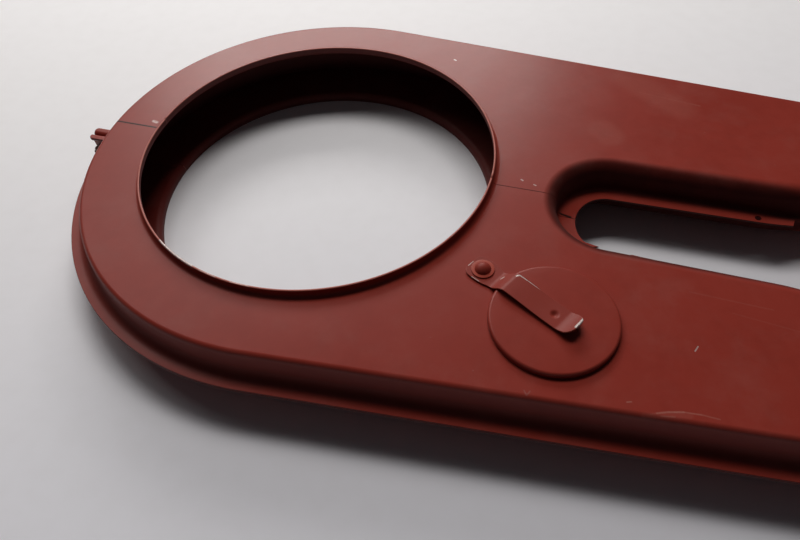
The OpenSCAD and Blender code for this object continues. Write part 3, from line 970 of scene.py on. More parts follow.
@dataclass(frozen=True)
class Paint:
    """Red-brown sprayed paint on steel.

    Attributes:
        name: Name of the material.
        colour: Colour of sound paint.
        roughness: Roughness of sound paint.
        edge_wear: Wear where the case's own edges are, from 0 to 1.
        all_over: Wear everywhere.
        dust: Amount of dust on surfaces that face up.
        waves: How wavy the sheet is.
        marks: Scrapes, chips and dark lines at places of their own.
        lip_highlight: How strong the painted highlight along the lip's rim is; where it is set, the slot flange's rim
            also gets painted shade.
        grime_and_shade: How dark the slot's recess is made, as dirt and painted shade; the outer wall has
            WALL_GRIME_AND_SHADE of it.
    """

    name: str
    colour: Colour
    roughness: float = 0.4
    edge_wear: float = 0.0
    all_over: float = 0.0
    dust: float = 0.04
    waves: float = 0.4
    marks: tuple[Scrape, ...] = ()
    lip_highlight: float = 0.0
    grime_and_shade: float = 0.0

    def build(self, effects: Effects) -> Material:
        """Builds the material.

        Args:
            effects: The shared node groups.

        Returns:
            The material.
        """
        shader = Surface(self.name)
        place = shader.place
        skin = shader.group(effects.enamel, {"Place": place, "Grain": 1.0, "Waves": self.waves})
        deep = tuple(value * DEEP_TONE for value in self.colour)
        pale = tuple(min(1.0, value * PALE_TONE + PALE_LIFT) for value in self.colour)
        colour = shader.blend(shader.ramp(skin["Tone"], TONE_START, TONE_END), deep, pale)
        colour = shader.blend(shader.times(skin["Nibs"], NIB_SHARE), colour, DUST_NIB)
        if self.lip_highlight:
            zones = shader.group(effects.case_zones, {"Place": place})
            # painted highlight: lighter paint along the lip's rim
            lip = shader.times(shader.ramp(zones["Hub"], PLAN.opening_r + 1.6, PLAN.opening_r + 1.1), self.lip_highlight)
            colour = shader.blend(lip, colour, LIP_HIGHLIGHT_COLOUR)
            # painted shade on the cut rim of the slot's flange
            slot_rim = shader.times(shader.ramp(zones["Slot"], 21.5, 20.0), RIM_SHADE_SHARE)
            colour = shader.blend(slot_rim, colour, SLOT_RIM_SHADE)
        # dirt and painted shade darken the slot's recess and the outer wall, and make them rougher
        dirt_and_shade: object = 0.0
        if self.grime_and_shade:
            dirt_and_shade = self._recess_dirt_and_shade(shader, effects)
            colour = shader.blend(dirt_and_shade, colour, SLOT_DIRT_AND_SHADE)
        wear: object = self.all_over
        if self.edge_wear:
            wear = shader.plus(self._edges(shader, effects), self.all_over)
        chips = shader.group(effects.chips, {"Place": place, "Wear": wear, "Size": 1.0, "Seed": 2.0})["Mask"]
        shown: dict[Mark, object] = {Mark.RUBBED: 0.0, Mark.DARK: 0.0, Mark.BARE: chips}
        for scrape in self.marks:
            shown[scrape.mark] = shader.larger(shown[scrape.mark], scrape.mask(shader, effects, place))
        bare = shown[Mark.BARE]
        film = shader.group(effects.dust, {"Place": place, "Amount": self.dust})["Mask"]
        for share, look in ((shown[Mark.RUBBED], RUBBED_PAINT), (shown[Mark.DARK], SPLIT_SHADOW), (film, DRY_DUST),
                            (bare, BARE_METAL)):
            colour = shader.blend(share, colour, look)
        rough = shader.plus(skin["Roughness"], self.roughness)
        rough = shader.plus(rough, shader.times(film, DUST_ROUGHNESS))
        rough = shader.minus(rough, shader.times(bare, BARE_POLISH))
        rough = shader.math("MINIMUM", shader.plus(rough, dirt_and_shade), 1.0)
        height = shader.minus(skin["Height"], shader.times(bare, CHIP_DEPTH))
        shader.shown["Specular IOR Level"].default_value = PAINT_SPECULAR
        return shader.finished(colour, rough, height, shader.times(bare, BARE_METALLIC))

    def _recess_dirt_and_shade(self, shader: Surface, effects: Effects) -> Socket:
        """Builds the darkening of the slot's recess and of the outer wall, which is dirt and painted shade.

        Args:
            shader: Builder of the material's nodes.
            effects: The shared node groups.

        Returns:
            How much of the paint it hides, from 0 to 1.
        """
        zones = shader.group(effects.case_zones, {"Place": shader.place})
        slot, hub, outline = zones["Slot"], zones["Hub"], zones["Outline"]
        below_roll = shader.ramp(slot, PLAN.slot_r + 2.4, PLAN.slot_r - 2.0)
        outside_rim = shader.ramp(slot, PLAN.slot_r - 8.8, PLAN.slot_r - 5.8)
        past_web = shader.ramp(hub, PLAN.opening_r + 20.0, PLAN.opening_r + 24.0)
        below_edge = shader.ramp(outline, PLAN.wall_r - 1.2, PLAN.wall_r + 0.2)
        inside_flange = shader.ramp(outline, PLAN.wall_r + 6.5, PLAN.wall_r + 3.0)
        recess = shader.times(shader.times(below_roll, outside_rim), past_web)
        wall = shader.times(shader.times(below_edge, inside_flange), WALL_GRIME_AND_SHADE)
        patch = shader.ramp(shader.noise(shader.place, scale=55.0, detail=4.0), 0.2, 0.6, 0.86, 1.0)
        return shader.times(shader.times(shader.larger(recess, wall), patch), self.grime_and_shade)

    def _edges(self, shader: Surface, effects: Effects) -> Socket:
        """Builds the wear along the case's rims and rolled edges.

        Args:
            shader: Builder of the material's nodes.
            effects: The shared node groups.

        Returns:
            The wear, from 0 to 1.
        """
        zones = shader.group(effects.case_zones, {"Place": shader.place})
        rise = shader.math("ABSOLUTE", zones["Height"])
        lip_top = PLAN.pressing_h + PLAN.lip_h
        flange_end = PLAN.wall_r + PLAN.flange_w
        slot_end = PLAN.slot_r - PLAN.slot_rim
        lip = shader.times(shader.ramp(zones["Hub"], PLAN.opening_r + 1.6, PLAN.opening_r + 0.9),
                           shader.ramp(rise, lip_top - 0.7, lip_top - 0.1))
        rim = shader.ramp(zones["Outline"], flange_end - 0.5, flange_end)
        roll = shader.times(shader.ramp(zones["Outline"], PLAN.edge_r, PLAN.edge_r + 0.9),
                            shader.ramp(rise, PLAN.pressing_h - 1.6, PLAN.pressing_h - 0.5))
        slot = shader.ramp(zones["Slot"], slot_end + 0.8, slot_end)
        wear: object = 0.0
        for part, amount in ((lip, 0.16), (rim, 0.14), (roll, 0.12), (slot, 0.12)):
            wear = shader.larger(wear, shader.times(part, amount))
        return shader.times(wear, self.edge_wear)


@dataclass(frozen=True)
class Metal:
    """Bare or plated metal of the clamp.

    Attributes:
        name: Name of the material.
        colour: Colour of the clean metal.
        roughness: Its roughness.
        grime_and_shade: How much paint and dirt sits on it.
    """

    name: str
    colour: Colour = STEEL
    roughness: float = 0.36
    grime_and_shade: float = 0.3

    def build(self, effects: Effects) -> Material:
        """Builds the material.

        Args:
            effects: The shared node groups.

        Returns:
            The material.
        """
        shader = Surface(self.name)
        skin = shader.group(effects.enamel, {"Place": shader.place, "Grain": 2.0, "Waves": 0.0})
        dull, clean = (tuple(value * tone for value in self.colour) for tone in STEEL_TONES)
        colour = shader.blend(skin["Tone"], dull, clean)
        dirt = shader.group(effects.chips, {"Place": shader.place, "Wear": self.grime_and_shade, "Size": 1.5,
                                            "Seed": 7.0})["Mask"]
        rough = shader.plus(shader.times(dirt, 0.2), shader.plus(skin["Roughness"], self.roughness))
        metallic = shader.minus(1.0, shader.times(dirt, 0.9))
        return shader.finished(shader.blend(dirt, colour, CLAMP_DIRT), rough, skin["Height"], metallic)


# ---- the pressings

STEP_CURVE = ((-0.8, -1.2), (0.0, -0.2), (1.4, 0.0))  # the step in the slot's rim, from its corner
TORN_RIM = (
    (143.2, 14.5), (145.0, 14.9), (147.0, 15.2), (149.2, 15.6), (147.6, 16.1), (145.8, 16.5), (147.0, 17.4),
    (148.8, 17.8), (150.4, 17.6), (151.6, 17.6), (153.4, 18.5), (155.8, 19.0), (159.4, 18.9), (162.4, 18.3),
    (163.8, 17.5), (165.2, 17.0), (168.8, 17.3), (178.0, 17.7), (190.0, 18.2), (205.0, 18.8))
TORN_GAPS = (0.4, 1.0)  # left in the clean rim before and after the torn length


def circle(centre: Vector, radius: float, step: int) -> list[Vector]:
    """Gives plan points round a circle.

    Args:
        centre: Its centre.
        radius: Its radius.
        step: Degrees from one point to the next.

    Returns:
        The points.
    """
    return [centre + polar(radius, angle) for angle in range(0, 360, step)]


@dataclass
class Pressing:
    """One of the four pressings, made for the upper half and the front and mirrored to its place.

    Attributes:
        half: Which half of the case it belongs to.
        face: Which face of the case it makes.
        collar_r: Outer radius of the collar of the lid's hole.
        collar_h: Height of that collar.
        collar_fillet: Fillet at its foot.
        rim_bulge: How far a trimmed rim is rounded.
        slot_ease: How much further out the roll at the slot starts than on the plan.
        end_ease: How deep the rim's end in the slot is, against a half circle.
        hole_share: Size of the small hole in the front rim, against that on the plan.
        rear_hole_shift: How much further in that hole lies in the rear rim.
        rear_cut: How much further the rear rim is cut back.
        rear_step: How much larger the step in the rear rim is.
    """

    half: Half
    face: Face
    collar_r: float = 25.0
    collar_h: float = 1.7
    collar_fillet: float = 0.5
    rim_bulge: float = 0.24
    slot_ease: float = 2.0
    end_ease: float = 0.87
    hole_share: float = 0.8
    rear_hole_shift: float = 0.6
    rear_cut: float = 2.0
    rear_step: float = 1.0

    @property
    def name(self) -> str:
        """Name of the CAD node that it stands for."""
        return f"{self.half.name.lower()}_{self.face.name.lower()}_shell"

    @property
    def place(self) -> Matrix:
        """Where its points go."""
        return Matrix.Translation((0, 0, PLAN.seam_z)) @ Matrix.Diagonal((1, self.half.value, self.face.value, 1))

    def outer_stations(self) -> list[Station]:
        """Places along the outer edge, from the split round the hub to the front.

        Returns:
            The stations.
        """
        plan = PLAN
        radius, split = plan.edge_r, plan.half_split
        left = Vector((-1, 0, 0))
        made = [Station(Vector((-math.sqrt(radius ** 2 - split ** 2), split, 0)), left, left)]
        for angle in spread_between(178.4, 90 - plan.taper, 2.0):
            way = polar(1, angle)
            made.append(Station(way * radius, way, way))
        normal, along = polar(1, 90 - plan.taper), polar(1, -plan.taper)
        corner = normal * radius
        reach = (plan.arm_x - corner.x) / along.x
        for run in spread_between(0, reach, 9.0)[1:-1]:
            made.append(Station(corner + along * run, normal, normal))
        made.append(Station(corner + along * reach, Vector((0, 1 / normal.y, 0)), normal))
        return made

    def slot_stations(self) -> list[Station]:
        """Places along the slot's edge, from the split round its end and along it to the front.

        Returns:
            The stations.
        """
        plan = PLAN
        radius, split = plan.slot_r, plan.half_split
        centre = Vector((plan.slot_x, 0, 0))
        right = Vector((1, 0, 0))
        made = [Station(centre + Vector((-math.sqrt(radius ** 2 - split ** 2), split, 0)), right, right)]
        for angle in spread_between(176.0, 90 + plan.slot_spread, 4.0):
            way = polar(1, angle)
            made.append(Station(centre + way * radius, -way, -way))
        flare = math.degrees(math.atan2(plan.flare_w, plan.flare_l))
        start = centre + polar(radius, 90 + plan.slot_spread)
        first = start + polar((plan.flare_x - plan.slot_x) / math.cos(math.radians(plan.slot_spread)), plan.slot_spread)
        second = first + polar(plan.flare_l / math.cos(math.radians(flare)), flare)
        end = Vector((plan.arm_x, second.y, 0))
        easing = 7.0
        for a, b, turn, next_turn in ((start, first, plan.slot_spread, flare), (first, second, flare, 0.0)):
            begin = easing if a is first else 0.0
            stop = (b - a).length - easing
            for run in spread_between(begin, stop, 8.0)[1:]:
                normal = polar(1, turn - 90)
                made.append(Station(a + polar(run, turn), normal, normal))
            for share in (0.2, 0.4, 0.6, 0.8, 1.0):
                before, after = b - polar(easing, turn), b + polar(easing, next_turn)
                base = before * (1 - share) ** 2 + b * 2 * share * (1 - share) + after * share ** 2
                normal = polar(1, turn + (next_turn - turn) * share - 90)
                made.append(Station(base, normal, normal))
        down = Vector((0, -1, 0))
        for x in spread_between(second.x + easing, end.x, 9.0)[1:]:
            made.append(Station(Vector((x, second.y, 0)), down, down))
        return made

    def rim_line(self, stations: Sequence[Station]) -> list[Vector]:
        """Trimmed edge of the slot's flange, cut back past the flare.

        Args:
            stations: The slot's stations.

        Returns:
            Plan points of the rim.
        """
        plan = PLAN
        front = self.face is Face.FRONT
        cut_y = stations[-1].base.y - plan.slot_rim + plan.rim_step + (0.0 if front else self.rear_step)
        width = plan.slot_rim if front else plan.slot_rim - self.rear_cut
        corner = plan.flare_x + 2 + 4 * plan.rim_step
        line: list[Vector] = []
        for station in stations:
            spot = station.base + station.across * width
            if front and spot.x < plan.slot_x:
                spot.x = plan.slot_x + (spot.x - plan.slot_x) * self.end_ease
            if spot.x > corner - 1.6:
                if line and line[-1].y < cut_y - 0.5:
                    line.append(Vector((corner - 2.1, line[-1].y + 0.2, 0)))
                    line += [Vector((corner + x, cut_y + y, 0)) for x, y in STEP_CURVE]
                if spot.x < corner + 2:
                    continue
                spot.y = cut_y
            line.append(spot)
        return self._torn(line) if front and self.half is Half.LOWER else line

    @staticmethod
    def _torn(line: Sequence[Vector]) -> list[Vector]:
        """Roughens the lower front rim, where the sheet was torn at the end of the slot.

        Args:
            line: Plan points of the clean rim.

        Returns:
            The points with a torn tongue and the crack beside it, then a shallow dip.
        """
        before = [spot for spot in line if spot.x < TORN_RIM[0][0] - TORN_GAPS[0]]
        after = [spot for spot in line if spot.x > TORN_RIM[-1][0] + TORN_GAPS[1]]
        return before + [Vector((x, y, 0)) for x, y in TORN_RIM] + after

    def lip_stations(self) -> list[Station]:
        """Places round the hub opening, from the split at the web to the step at the far side.

        Returns:
            The stations.
        """
        plan = PLAN
        end_y = plan.step_y + plan.half_split if self.half is Half.UPPER else plan.half_split - plan.step_y
        right = Vector((1, 0, 0))
        made = [Station(Vector((0, plan.half_split, 0)), right, right)]
        last = 180 - math.degrees(math.asin(end_y / plan.lip_foot_r))
        for angle in spread_between(1.5, last - 1.5, 2.0):
            way = polar(1, angle)
            made.append(Station(Vector(), way, way))
        share = math.cos(math.asin(end_y / plan.lip_foot_r))
        made.append(Station(Vector((0, end_y, 0)), Vector((-share, 0, 0)), Vector((-1, 0, 0))))
        return made

    def build(self, finishes: Sequence[Material]) -> None:
        """Makes the pressing.

        Args:
            finishes: The finish of the sheet, of its rims, and of its inner side.
        """
        plan = PLAN
        sheet = Sheet(plan.sheet)
        outer = sheet.sweep(self.outer_stations(), rolled_section(plan.edge_roll, plan.edge_cove))
        self._outer_flange(sheet, outer)
        stations = self.slot_stations()
        soft = [Station(s.base - s.across * self.slot_ease, s.across, s.normal) for s in stations]
        soft[0].base.y = stations[0].base.y
        slot = sheet.sweep(soft, rolled_section(plan.slot_roll + self.slot_ease + 0.5, plan.slot_cove - 0.5))
        self._slot_flange(sheet, slot, self.rim_line(stations))
        lip = sheet.sweep(self.lip_stations(), turned_up_section(
            plan.opening_r + plan.sheet, plan.lip_fillet, plan.lip_h, plan.pressing_h))
        outline = [sheet.points[row[0]] for row in outer]
        outline += [sheet.points[row[0]] for row in reversed(slot)]
        outline += [sheet.points[row[0]] for row in lip]
        step_x = -plan.lip_foot_r - 0.6 - (plan.half_split if self.half is Half.UPPER else -plan.half_split)
        outline.append(Vector((step_x, outline[-1].y, plan.pressing_h)))
        outline.append(Vector((step_x, plan.half_split, plan.pressing_h)))
        sheet.fill([outline] + self._holes(sheet), spacing=7.0, shape=Sheet.level(plan.pressing_h))
        Piece(f"{self.name}_sheet", self.name).press(sheet, self._bulge, self.place, finishes)

    def _bulge(self, spot: Vector) -> float:
        """Tells how far a rim is rounded: little where two halves meet, more where the sheet was trimmed."""
        plan = PLAN
        split = abs(spot.y) < plan.half_split + 0.02 or spot.x > plan.arm_x - 0.01
        step = spot.x < -plan.opening_r and abs(spot.y) < plan.step_y + 0.3 and spot.z > plan.pressing_h - 2
        return 0.04 if split or step else self.rim_bulge

    def _outer_flange(self, sheet: Sheet, rows: Sequence[Sequence[int]]) -> None:
        """Adds the seam flange past the outer cove.

        Args:
            sheet: The skin so far.
            rows: The outer edge's points.
        """
        plan = PLAN
        full = plan.edge_roll + plan.flange_w
        cove_end = plan.edge_roll + plan.draft + plan.edge_cove
        made = []
        for row, station in zip(rows, self.outer_stations()):
            line = [row[-1]]
            for past in (cove_end + (full - cove_end) * 0.5, full):
                place = station.base + station.across * past + UP * plan.sheet
                line.append(sheet.point(place, UP))
            made.append(line)
        for first, second in zip(made, made[1:]):
            for i in range(2):
                sheet.face((first[i], second[i], second[i + 1], first[i + 1]))

    def _slot_flange(self, sheet: Sheet, rows: Sequence[Sequence[int]], rim: Sequence[Vector]) -> None:
        """Adds the flat flange round the slot, with its small hole.

        Args:
            sheet: The skin so far.
            rows: The slot edge's points.
            rim: The flange's trimmed edge.
        """
        plan = PLAN
        outline = [sheet.points[row[-1]] for row in rows] + [p.copy() for p in reversed(rim)]
        flare_y = plan.slot_r * math.cos(math.radians(plan.slot_spread)) + \
            (plan.flare_x - plan.slot_x) * math.tan(math.radians(plan.slot_spread))
        inset, radius = plan.rim_hole_inset, plan.rim_hole_r * self.hole_share
        if self.face is Face.REAR:
            inset, radius = plan.rim_hole_inset + self.rear_hole_shift, plan.rim_hole_r
        hole = circle(Vector((plan.rim_hole_x, flare_y - plan.slot_rim + inset, 0)), radius, 20)
        sheet.fill([outline, hole], spacing=3.0, shape=Sheet.level(plan.sheet))

    def _holes(self, sheet: Sheet) -> list[list[Vector]]:
        """Adds what stands round the holes in the flat face.

        Args:
            sheet: The skin so far.

        Returns:
            The outline of each hole.
        """
        plan = PLAN
        if self.face is Face.REAR:
            return [circle(Vector((plan.mount_x, plan.mount_y, 0)), plan.mount_r, 12)]
        if self.half is Half.UPPER:
            return []
        centre = polar(plan.lid_reach, plan.clip_angle)
        stations = [Station(centre, polar(1, angle), polar(1, angle)) for angle in range(0, 360, 6)]
        rows = sheet.sweep(stations + stations[:1], turned_up_section(
            self.collar_r, self.collar_fillet, self.collar_h, plan.pressing_h))
        rivet = circle(polar(plan.rivet_reach, plan.clip_angle), plan.rivet_r, 15)
        return [[sheet.points[row[0]] for row in rows[:-1]], rivet]


# ---- small parts

def revolved(profile: Sequence[Point2], segments: int, closed: bool) -> tuple[list[Vector], list[Ring]]:
    """Turns a profile round the Z axis.

    Args:
        profile: Radius and height of each point, so that the faces look outwards.
        segments: Number of steps round the axis.
        closed: Whether the profile is a loop.

    Returns:
        The points and the faces; a point on the axis is made once.
    """
    points: list[Vector] = []
    rows: list[list[int]] = []
    for radius, height in profile:
        start = len(points)
        if radius < 1e-6:
            points.append(Vector((0, 0, height)))
            rows.append([start] * segments)
        else:
            points += [Vector((0, 0, height)) + polar(radius, 360 * k / segments) for k in range(segments)]
            rows.append(list(range(start, start + segments)))
    faces = []
    for i in range(len(profile) if closed else len(profile) - 1):
        first, second = rows[i], rows[(i + 1) % len(rows)]
        for k in range(segments):
            after = (k + 1) % segments
            ring = [first[k], first[after], second[after], second[k]]
            ring = [c for j, c in enumerate(ring) if c != ring[j - 1]]
            if len(ring) > 2:
                faces.append(tuple(ring))
    return points, faces


def eased(share: float) -> float:
    """Turns a share into one that starts and ends gently.

    Args:
        share: The share; below 0 it counts as 0, and above 1 as 1.

    Returns:
        The gentle share, from 0 to 1.
    """
    return (1 - math.cos(math.pi * min(max(share, 0.0), 1.0))) / 2


def bow(centre: Point2, radius: float, first: float, last: float, steps: int) -> list[Point2]:
    """Makes the points of an arc.

    Args:
        centre: Its centre.
        radius: Its radius.
        first: Where it starts, in degrees.
        last: Where it ends.
        steps: Number of steps.

    Returns:
        The points, both ends among them.
    """
    turns = [math.radians(first + (last - first) * k / steps) for k in range(steps + 1)]
    return [(centre[0] + radius * math.cos(turn), centre[1] + radius * math.sin(turn)) for turn in turns]


def washer_profile(outer: float, inner: float, low: float, high: float, edge: float) -> list[Point2]:
    """Makes the loop of a washer's section with eased edges.

    Args:
        outer: Outer radius.
        inner: Inner radius.
        low: Height of its lower face.
        high: Height of its upper face.
        edge: Radius of its edges.

    Returns:
        The loop.
    """
    corners = ((inner, 1, high, -1, 180), (outer, -1, high, -1, 90), (outer, -1, low, 1, 0), (inner, 1, low, 1, -90))
    loop: list[Point2] = []
    for radius, inward, height, up, first in corners:
        loop += bow((radius + inward * edge, height + up * edge), edge, first, first - 90, 3)
    return loop[::-1]


@dataclass(frozen=True)
class Piece:
    """A piece to be made, the solid it stands for, the name of a material slot, which nothing uses, and the body that
    carries it.
    """

    name: str
    node: str
    slot: str = "case_paint"
    body: str = "case"

    def tie(self, piece: bpy.types.Object) -> None:
        """Hides the solid that a mesh stands for, and ties the mesh to the body.

        Args:
            piece: The mesh's object.
        """
        node, body, slot = self.node, self.body, self.slot
        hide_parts(node)
        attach(piece, body)
        LOG.info("%s: %d faces for %s", piece.name, len(piece.data.polygons), node)

    def press(self, sheet: Sheet, bulge: Callable[[Vector], float], place: Matrix,
              finishes: Sequence[Material]) -> None:
        """Makes the piece from a skin.

        Args:
            sheet: The skin.
            bulge: How far a rim stands out past the skin's edge at a point.
            place: Where its points go.
            finishes: The finish outside, on the rims and inside.
        """
        points, faces, normals, rims = sheet.closed(bulge)
        self.tie(write_mesh(self.name, points, faces, normals, place, finishes, rims))

    def turn(self, made: tuple[list[Vector], list[Ring]], place: Matrix, finish: Material, crease: float) -> None:
        """Makes the piece from points and faces.

        Args:
            made: The points and the faces.
            place: Where the points go.
            finish: Its finish.
            crease: Angle in degrees past which an edge is sharp.
        """
        piece = write_mesh(self.name, *made, None, place, [finish])
        piece.data.set_sharp_from_angle(angle=math.radians(crease))
        self.tie(piece)


@dataclass
class InspectionLid:
    """Round pressed lid over the inspection hole.

    Attributes:
        radius: Outer radius.
        height: Height above the case's face.
        sheet: Thickness.
        edge: Outer radius of the rolled edge.
        crown: Height that its middle rises above its rim.
    """

    radius: float = 27.5
    height: float = 3.0
    sheet: float = 1.0
    edge: float = 1.3
    crown: float = 0.16

    def build(self, finish: Material) -> None:
        """Makes the lid.

        Args:
            finish: Its paint.
        """
        flat_r = self.radius - self.edge
        shares = (0, 0.12, 0.3, 0.5, 0.7, 0.86)
        top = [(flat_r * share, self.height + self.crown * (1 - share ** 2)) for share in shares]
        under = [(r, z - self.sheet) for r, z in reversed(top)]
        profile = (top + bow((flat_r, self.height - self.edge), self.edge, 90, 0, 10)
                   + [(self.radius, 0.25)] + bow((self.radius - 0.2, 0.2), 0.2, 0, -90, 3)
                   + [(self.radius - self.sheet, 0.0)]
                   + bow((flat_r, self.height - self.edge), self.edge - self.sheet, 0, 90, 5) + under)
        place = Matrix.Translation(polar(PLAN.lid_reach, -PLAN.clip_angle) + UP * PLAN.front_z)
        Piece("round_lid", "inspection_lid", "lid_paint").turn(revolved(profile[::-1], 144, False), place, finish, 40)


@dataclass
class SpringClip:
    """Leaf spring with a Z bend, a pressed dimple and a turned-up tip, which swivels on its rivet.

    Attributes:
        reach: Distance from the rivet to the dimple.
        tail: Length past the dimple.
        half_width: Half the width of the leaf.
        eye: Half the size of the eye.
        hole_r: Radius of the hole in the eye.
        thickness: Thickness of the leaf.
        low_z: Height of the eye's lower face.
        leaf_z: Height of the leaf's lower face at the dimple.
        drop: How much the leaf rises above that behind the bend.
        bend: Where the Z bend starts and ends.
        tip_rise: How far the tip turns up.
        nub_r: Radius of the dimple.
        nub_depth: Its depth.
    """

    reach: float = 38.8
    tail: float = 11.0
    half_width: float = 5.5
    eye: float = 6.3
    hole_r: float = 2.46
    thickness: float = 0.8
    low_z: float = 35.3
    leaf_z: float = 39.2
    drop: float = 1.1
    bend: tuple[float, float] = (7.6, 16.0)
    tip_rise: float = 3.6
    nub_r: float = 2.3
    nub_depth: float = 1.1

    def top_height(self, s: float, w: float) -> float:
        """Height of the leaf's upper face.

        Args:
            s: Distance from the rivet along the leaf.
            w: Distance from the middle line.

        Returns:
            The height.
        """
        start, end = self.bend
        tip = self.reach + 4
        height = self.low_z + (self.leaf_z + self.drop - self.low_z) * eased((s - start) / (end - start))
        height -= self.drop * eased((s - end) / (self.reach - end))
        height += self.tip_rise * (max(s - tip, 0.0) / (self.reach + self.tail - tip)) ** 1.6
        away = math.hypot(s - self.reach, w) / self.nub_r
        return height + self.thickness - self.nub_depth * (1 - eased(away)) if away < 1 else height + self.thickness

    def outline(self) -> list[Vector]:
        """Gives the leaf's outline: a square eye with round corners, a waist, and a round tip.

        Returns:
            Its points, with the distance along the leaf first.
        """
        corner, waist_start, waist_l, inset = 3.6, 3.4, 5.0, 0.35
        eye_w, waist_w = self.eye - 0.15, self.half_width - inset
        waist_end = waist_start + waist_l
        side = bow((corner - self.eye, self.eye - corner), corner, 180, 90, 9)
        side += [(-1.0, self.eye + 0.1), (1.0, self.eye + 0.1), (2.6, self.eye - 0.05)]
        side += [(s, eye_w + (waist_w - eye_w) * eased((s - waist_start) / waist_l))
                 for s in spread_between(waist_start, waist_end, 0.6)]
        side += [(s, self.half_width - inset * max(0.0, 1 - (s - waist_end) / waist_l))
                 for s in spread_between(9.2, 43.6, 0.9)]
        tip = self.reach + self.tail
        round_r = 3.8
        side += bow((tip - round_r, self.half_width - round_r), round_r, 90, 0, 12)
        return [Vector((s, w, 0)) for s, w in side] + [Vector((s, -w, 0)) for s, w in reversed(side)]

    def build(self, finishes: Sequence[Material]) -> None:
        """Makes the clip.

        Args:
            finishes: Its paint, and the paint of its worn edges.
        """
        sheet = Sheet(self.thickness)
        step = 0.02

        def shape(s: float, w: float) -> tuple[Vector, Vector]:
            slope = Vector((self.top_height(s + step, w) - self.top_height(s - step, w),
                            self.top_height(s, w + step) - self.top_height(s, w - step), 0.0)) / (2 * step)
            return Vector((s, w, self.top_height(s, w))), UP - slope

        sheet.fill([self.outline(), circle(Vector(), self.hole_r, 10)], spacing=0.55, shape=shape)
        place = Matrix.Rotation(math.radians(-PLAN.clip_angle), 4, "Z") @ Matrix.Translation((PLAN.rivet_reach, 0, 0))
        Piece("leaf_spring", "spring_clip", "clip_paint", "clip").press(sheet, lambda spot: 0.16, place, finishes)


@dataclass
class Rivet:
    """Domed rivet that the clip turns on, with the washers at its two ends.

    Attributes:
        head_r: Radius of the domed head.
        head_h: Height of the head.
        seat_z: Height of the washer under the head.
        washer_r: Radius of that washer.
        washer_t: Its thickness.
        inside_z: Height of the case's inner face.
        backing_r: Radius of the washer inside the case.
        tail_h: Height of the formed tail.
    """

    head_r: float = 3.7
    head_h: float = 2.6
    seat_z: float = 36.25
    washer_r: float = 5.2
    washer_t: float = 0.5
    inside_z: float = 34.0
    backing_r: float = 6.3
    tail_h: float = 1.2

    @property
    def place(self) -> Matrix:
        """Where the rivet's axis stands."""
        return Matrix.Translation(polar(PLAN.rivet_reach, -PLAN.clip_angle))

    def build(self, paint: Material, ring: Material, case: Material) -> None:
        """Makes the rivet and its washers.

        Args:
            paint: The head's paint.
            ring: The finish of the washer under the head.
            case: The paint inside the case.
        """
        shank_r = PLAN.rivet_r
        top = self.seat_z + self.washer_t
        dome_r = (self.head_r ** 2 + self.head_h ** 2) / (2 * self.head_h)
        half = math.degrees(math.asin(self.head_r / dome_r))
        tail = self.inside_z - 1 - self.tail_h
        profile = bow((0, top + self.head_h - dome_r), dome_r, 90, 90 - half, 12)
        profile[0] = (0.0, profile[0][1])
        profile += [(self.head_r - 0.12, top), (shank_r, top), (shank_r, self.inside_z - 1)]
        profile += bow((shank_r + 0.7, tail + 0.7), 0.5, 90, -60, 5) + [(shank_r, tail), (0.0, tail)]
        bore = shank_r + 0.02
        seat = washer_profile(self.washer_r, bore, self.seat_z, top, 0.14)
        backing = washer_profile(self.backing_r, bore, self.inside_z - 1, self.inside_z, 0.2)
        Piece("domed_rivet", "clip_rivet", "clip_paint").turn(revolved(profile[::-1], 48, False), self.place, paint, 45)
        Piece("rivet_ring", "rivet_washer", "bare_steel").turn(revolved(seat, 56, True), self.place, ring, 50)
        Piece("inner_ring", "backing_washer").turn(revolved(backing, 56, True), self.place, case, 50)


